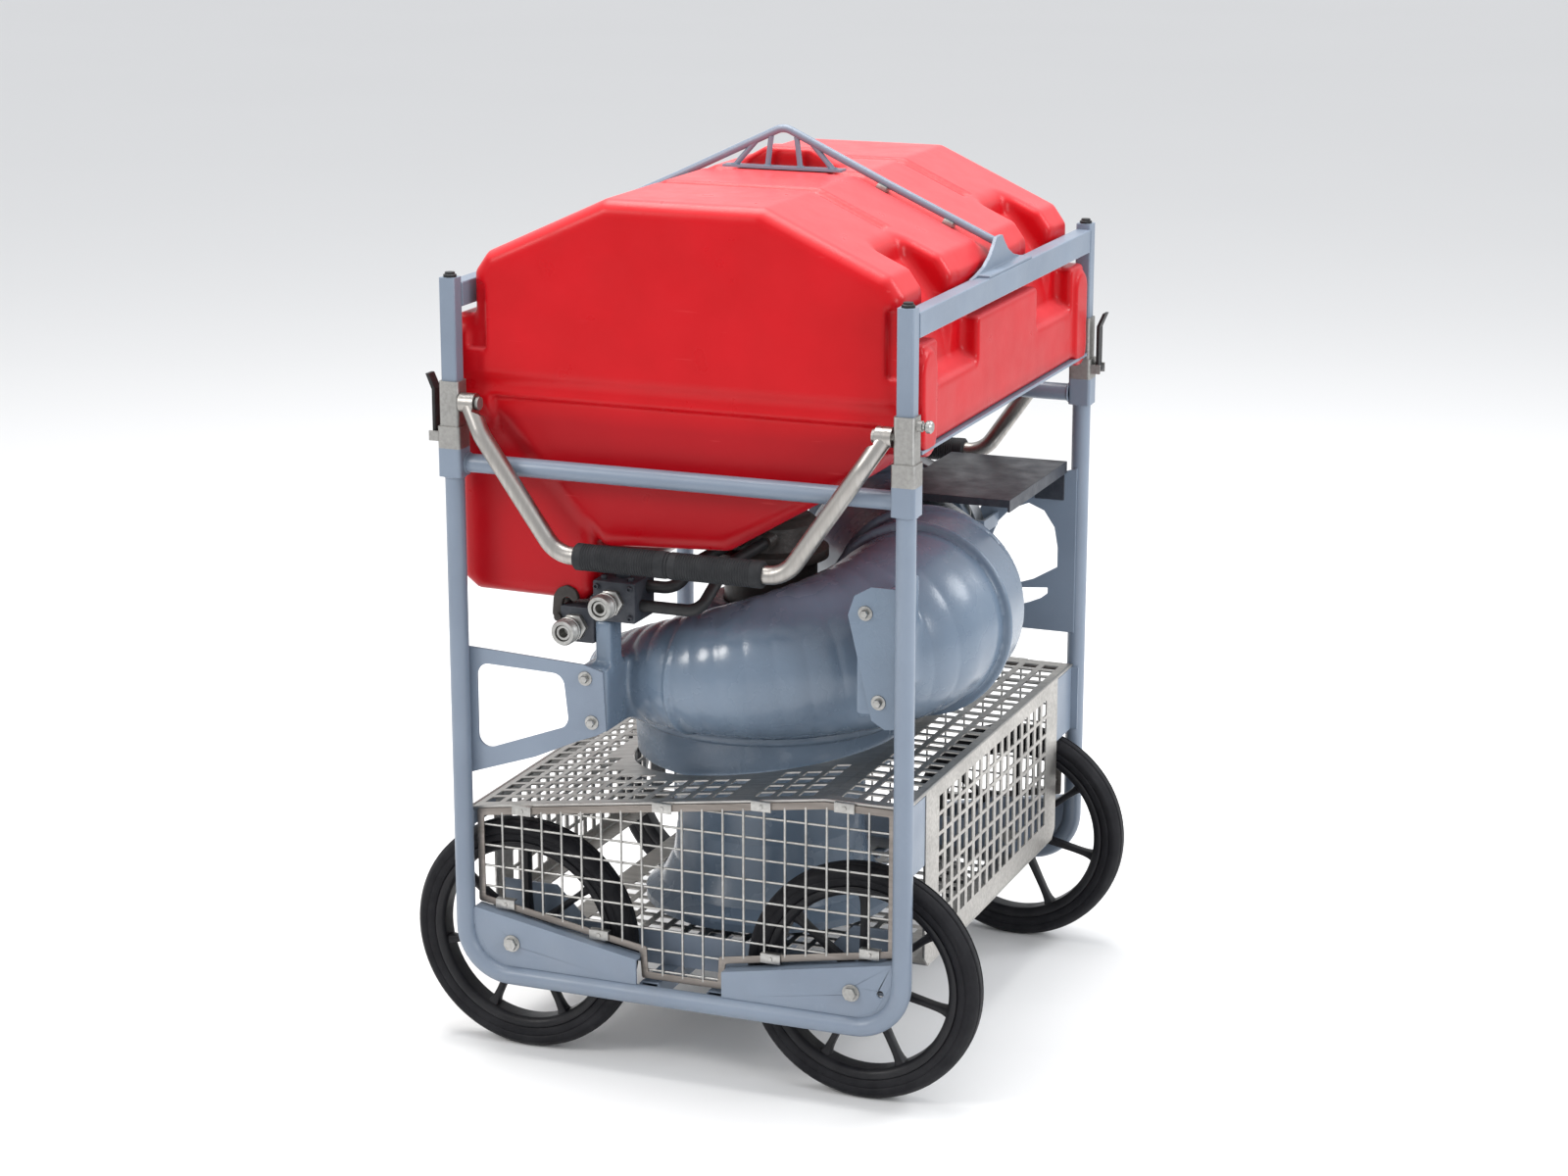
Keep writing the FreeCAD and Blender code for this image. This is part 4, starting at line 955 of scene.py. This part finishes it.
def make_grips(end):
    low, high = box_mm("handle_grips_" + end)
    y, z = (low.y + high.y) / 2, (low.z + high.z) / 2
    outer, bore, half_gap, rib_pitch = (high.z - low.z) / 2, 11.1, 1.0, 3.2
    parts = []
    for start in (low.x, half_gap):
        length = high.x - half_gap
        ribs = [(bore, 0), (outer - 2, 0), (outer, 2), (outer, 9)]
        for k in range(int((length - 22) / rib_pitch)):
            at = 11 + k * rib_pitch
            crest, valley = outer - 0.1, outer - 0.9
            ribs += [(crest, at), (valley, at + 0.9), (valley, at + 1.7), (crest, at + 2.6)]
        ribs += [(outer, length - 9), (outer, length - 2), (outer - 2, length), (bore, length)]
        parts.append(lathe(ribs, (start, y, z), X, 40))
    parts.append(lathe(softened([(bore, -1.6), (outer - 0.6, -1.6), (outer - 0.6, 1.6), (bore, 1.6)], 0.5, 2),
                       ((low.x + high.x) / 2, y, z), X, 40))
    add_piece("grip_sleeves_" + end, joined(parts), "grip_foam", "handle_" + end, ("handle_grips_" + end,))


# ---- hydraulic block and couplings

BLOCK_FACE_Y = -322.0


def make_valve_block():
    parts = [block((-122, BLOCK_FACE_Y, 571), (-66, -262, 622), 2.5),
             block((-166, BLOCK_FACE_Y, 541), (-121, -272, 586), 2.5),
             block((-128, -318, 560), (-116, -270, 600), 2.0)]
    for x, z in ((-116, 615), (-72, 615), (-72, 578)):
        parts.append(socket_screw((x, BLOCK_FACE_Y, z), -Y, 3.6))
    for x, y in ((-112, -310), (-112, -274), (-76, -310), (-76, -274)):
        parts.append(socket_screw((x, y, 622), Z, 3.6))
    cap = [(0, 0), (9, 0), (9, 10), (6, 12), (6, 18), (0, 18)]
    parts.append(turned(cap, 1.0, (-94, -292, 622), Z, 24))
    add_piece("valve_block_machined", joined(parts), "dark_steel", replaces=("valve_block",))
    claw = [(-176, 596), (-170, 606), (-158, 611), (-146, 606), (-142, 594), (-150, 590), (-156, 597),
            (-163, 594), (-165, 584), (-160, 572), (-166, 560), (-178, 572)]
    shapes = []
    for y in (-316, -292):
        shapes.append(flat_plate(softened(claw, 4.0, 4), [], 7.0, 1.2, facing_y(y)))
    shapes.append(turned([(0, 0), (5, 0), (5, 42), (0, 42)], 1.0, (-168, -326, 571), Y, 20))
    add_piece("coupling_claws", joined(shapes), "dark_casting")


def make_couplings():
    stems = []
    for name in ("pressure", "return"):
        node = "coupling_sleeve_" + name
        half = half_mm(node)
        centre = middle_mm(node) + Y * half.y
        outer, bore, length = half.x, 10.4, 2 * half.y
        profile = [(bore, 0), (outer - 1.2, 0), (outer, 1.2), (outer, 4), (outer - 1.6, 4.8),
                   (outer - 1.6, 7.2), (outer, 8)]
        for k in range(5):
            at = 8.4 + 1.8 * k
            profile += [(outer, at), (outer - 0.6, at + 0.9)]
        profile += [(outer, length - 2.4), (outer - 1.4, length), (bore, length)]
        add_piece("sleeve_" + name + "_turned", lathe(profile, centre, -Y, 48), "zinc_fastener",
                  name + "_sleeve", (node,))
        root = Vector((centre.x, BLOCK_FACE_Y, centre.z))
        stem = [(0, 0), (10, 0), (10, 12), (9.2, 12.8), (9.2, 15.2), (10, 16), (10, 35), (9, 36), (6, 36),
                (6, 20), (0, 20)]
        stems.append(turned(stem, 0.5, root, -Y, 40))
        stems.append(hex_bolt(root, -Y, 29, 9, washer=False))
    add_piece("coupling_stems", joined(stems), "zinc_fastener", replaces=("coupling_bodies",))


# ---- bolts, welds and small trim

def make_bolts():
    """The casing's bolts, and the outlet's, which leave out the two places beside the rear bracket."""
    parts = []
    for x, z in ((-125, 502), (-117, 447), (237, 620), (254, 513)):
        parts.append(hex_bolt((x, -340, z), -Y, 9))
    for k in range(1, 11):
        angle = math.radians(30 * k)
        place = OUTLET + Vector((OUTLET_BOLT_R * math.cos(angle), 14, OUTLET_BOLT_R * math.sin(angle)))
        parts.append(hex_bolt(place, Y, 13))
    add_piece("casing_bolts", joined(parts), "zinc_fastener", replaces=("pump_bolts",))


def make_welds():
    parts = []
    rail_low, rail_high = 949.0, 979.0
    for sx, sy in SIDES:
        post = Vector((sx * POST_X, sy * HOOP_Y, 0))
        parts.append(ring_weld(post + Z * 743.6, Z, FRAME_TUBE_R + 0.9, 40, 1.7))
        parts.append(ring_weld((sx * (POST_X - 15.4), sy * 343.0, 759), X, 11.9, 36, 1.6))
        outer = sx * (POST_X - FRAME_TUBE_R - 0.3)
        parts.append(weld_bead([(outer, sy * 352.0, 190), (outer, sy * 352.0, 169)], 1.2))
        for x in (sx * (POST_X - 10.3), sx * (POST_X + 10.3)):
            parts.append(weld_bead([(x, sy * 339.2, rail_low + 1), (x, sy * 339.2, rail_high - 1)], 1.3))
    for sx in (-1, 1):
        x = sx * (POST_X - 10.8)
        parts.append(weld_bead([(x, -84, rail_high + 0.4), (x, 84, rail_high + 0.4)], 1.3))
        parts.append(ring_weld((sx * (POST_X - 11), 0, 1006), X, 5.6, 16, 1.3))
        for sy in (-1, 1):
            for rail_side in (-12.4, 12.4):
                start = (sx * 45 + rail_side, sy * 337.5, 97)
                parts.append(weld_bead([start, (start[0], start[1], 117)], 1.5))
    for x in (-66, -22, 22, 66):
        parts.append(ring_weld((x, 0, 1090), Z, 4.4, 14, 1.0))
    add_piece("weld_beads", joined(parts), "frame_paint", sharp=80)


def make_gusset_corners():
    """The gussets' rounded corners, filled out to the inside of the hoop's bend."""
    bend, centre_x, centre_z = 48.4, POST_X - 60.0, 167.0
    arc = [math.radians(a) for a in range(-90, 1, 9)]
    curve = [(centre_x + bend * math.cos(a), centre_z + bend * math.sin(a)) for a in arc]
    chord = [(277, 167), (257, 132), (231, 120)]
    parts = []
    for sx, sy in SIDES:
        outline = [(sx * x, z) for x, z in curve + chord]
        parts.append(flat_plate(outline, [], 3.5, 0.3, facing_y(sy * HOOP_Y)))
    add_piece("gusset_corners", joined(parts), "frame_paint")


def make_bow_clips():
    """Saddle clips that hold the bow down on the float's shoulders."""
    parts = []
    for sx in (-1, 1):
        for x, z in ((134, 1071), (221, 1032)):
            slope = math.atan2(68, 149) * sx
            centre = Vector((sx * x, 0, z + 3))
            turn = Matrix.Translation(centre) @ Matrix.Rotation(slope, 4, "Y")
            vertices, faces = block((-7, -9, -9), (7, 9, -1), 1.5)
            parts.append(([turn @ Vector(v) for v in vertices], faces))
    add_piece("bow_saddles", joined(parts), "stainless_cast")


# ---- carried-over nodes

SOFT_EDGES = {
    "gusset_plates": 0.7, "bottom_rails": 1.2, "axle_plates": 0.6, "cage_corner_plates": 0.6,
    "upper_posts": 0.8, "post_collars": 1.4, "side_rails": 1.6, "bow_brackets": 0.8, "float_trays": 0.6,
    "top_cover": 0.6, "bracket_front_left": 0.8, "bracket_front_right": 0.8, "bracket_rear_right": 0.8,
    "latch_lever_front": 0.7, "latch_lever_rear": 0.7, "outlet_ring": 1.0, "hydraulic_motor": 1.0,
    "discharge_pipe": 1.0, "pump_base": 1.2, "axle_bolts": 0.6, "impeller": 0.8,
}

# Nodes painted otherwise than their slot says: bracket_front_right takes the darker pump paint as painted
# shade, for the shadow it sits in.
NODE_LOOKS = {"bracket_front_right": "pump_paint"}


def finish_cad_nodes():
    """Materials for every node that stays, and a fine bevel on the cut edges of plates and castings."""
    for name, node in NODES.items():
        look = NODE_LOOKS.get(name, CAD_SLOT[name])
        for material_slot in node.material_slots:
            material_slot.material = LOOKS[look]
        if name in SOFT_EDGES and not node.hide_render:
            weld = node.modifiers.new("weld", "WELD")
            weld.merge_threshold = 2e-6
            bevel = node.modifiers.new("soft_edges", "BEVEL")
            bevel.width = SOFT_EDGES[name] * MM
            bevel.segments = 2
            bevel.limit_method = "ANGLE"
            bevel.angle_limit = math.radians(35)


# ---- stage, light and camera

def make_stage():
    mesh, reach = bpy.data.meshes.new("floor"), 30
    corners = [(-reach, -reach, 0), (reach, -reach, 0), (reach, reach, 0), (-reach, reach, 0)]
    mesh.from_pydata(corners, [], [(0, 1, 2, 3)])
    look = Look("pale_floor", Roughness=0.85, Specular_IOR_Level=0.1)
    look.set("Base Color", look.tint(look.noise(0.6, 2.0), rgb(0.84, 0.84, 0.84), rgb(0.86, 0.86, 0.86)))
    mesh.materials.append(look.material)
    floor = placed("floor", mesh)


# Name, place, aim, width in metres, power in watts and colour.
LIGHTS = (
    ("overhead", (-0.4, 0.2, 3.6), (0, 0, 0.8), 2.6, 130, (1.0, 0.99, 0.97)),
    ("key", (-2.6, -3.2, 3.0), (0, 0, 0.6), 1.4, 70, (1.0, 0.98, 0.95)),
    ("rim", (2.8, 1.6, 2.6), (0, 0, 0.6), 1.6, 50, (0.95, 0.97, 1.0)),
    ("right", (3.4, -1.6, 1.9), (0, 0, 0.6), 1.2, 40, (0.96, 0.98, 1.0)),
)
CAMERA_PLACE = Vector((1.523, -3.842, 1.627))
CAMERA_AIM = Vector((0.0, 0.0, 0.545))
LENS, SENSOR = 76.0, 36.0


def area_light(name, place, target, size, power, colour):
    light = bpy.data.lights.new(name, "AREA")
    light.shape = "DISK"
    light.size = size
    light.energy = power
    light.color = colour
    lamp = placed(name, light)
    lamp.location = place
    lamp.rotation_euler = (Vector(target) - Vector(place)).to_track_quat("-Z", "Y").to_euler()


def make_light():
    world = bpy.data.worlds.new("studio")
    world.use_nodes = True
    sky = world.node_tree.nodes["Background"]
    sky.inputs["Color"].default_value = rgb(0.96, 0.975, 1.0)
    sky.inputs["Strength"].default_value = 0.84
    bpy.context.scene.world = world
    bpy.context.scene.view_settings.view_transform = "Standard"
    for row in LIGHTS:
        area_light(*row)


def make_camera():
    camera = bpy.data.cameras.new("camera")
    camera.lens = LENS
    camera.sensor_width = SENSOR
    holder = placed("camera", camera)
    holder.location = CAMERA_PLACE
    holder.rotation_euler = (CAMERA_AIM - CAMERA_PLACE).to_track_quat("-Z", "Y").to_euler()
    bpy.context.scene.camera = holder


def main():
    make_camera()
    make_stage()
    make_light()
    make_float()
    make_casing()
    for name in ("front_left", "front_right", "rear_left", "rear_right"):
        make_wheel(name)
    make_wire_panel("wire_panel_front", -1)
    make_wire_panel("wire_panel_rear", 1)
    make_clips()
    make_cage_edges()
    make_grips("front")
    make_grips("rear")
    make_valve_block()
    make_couplings()
    make_bolts()
    make_welds()
    make_gusset_corners()
    make_bow_clips()
    finish_cad_nodes()


main()
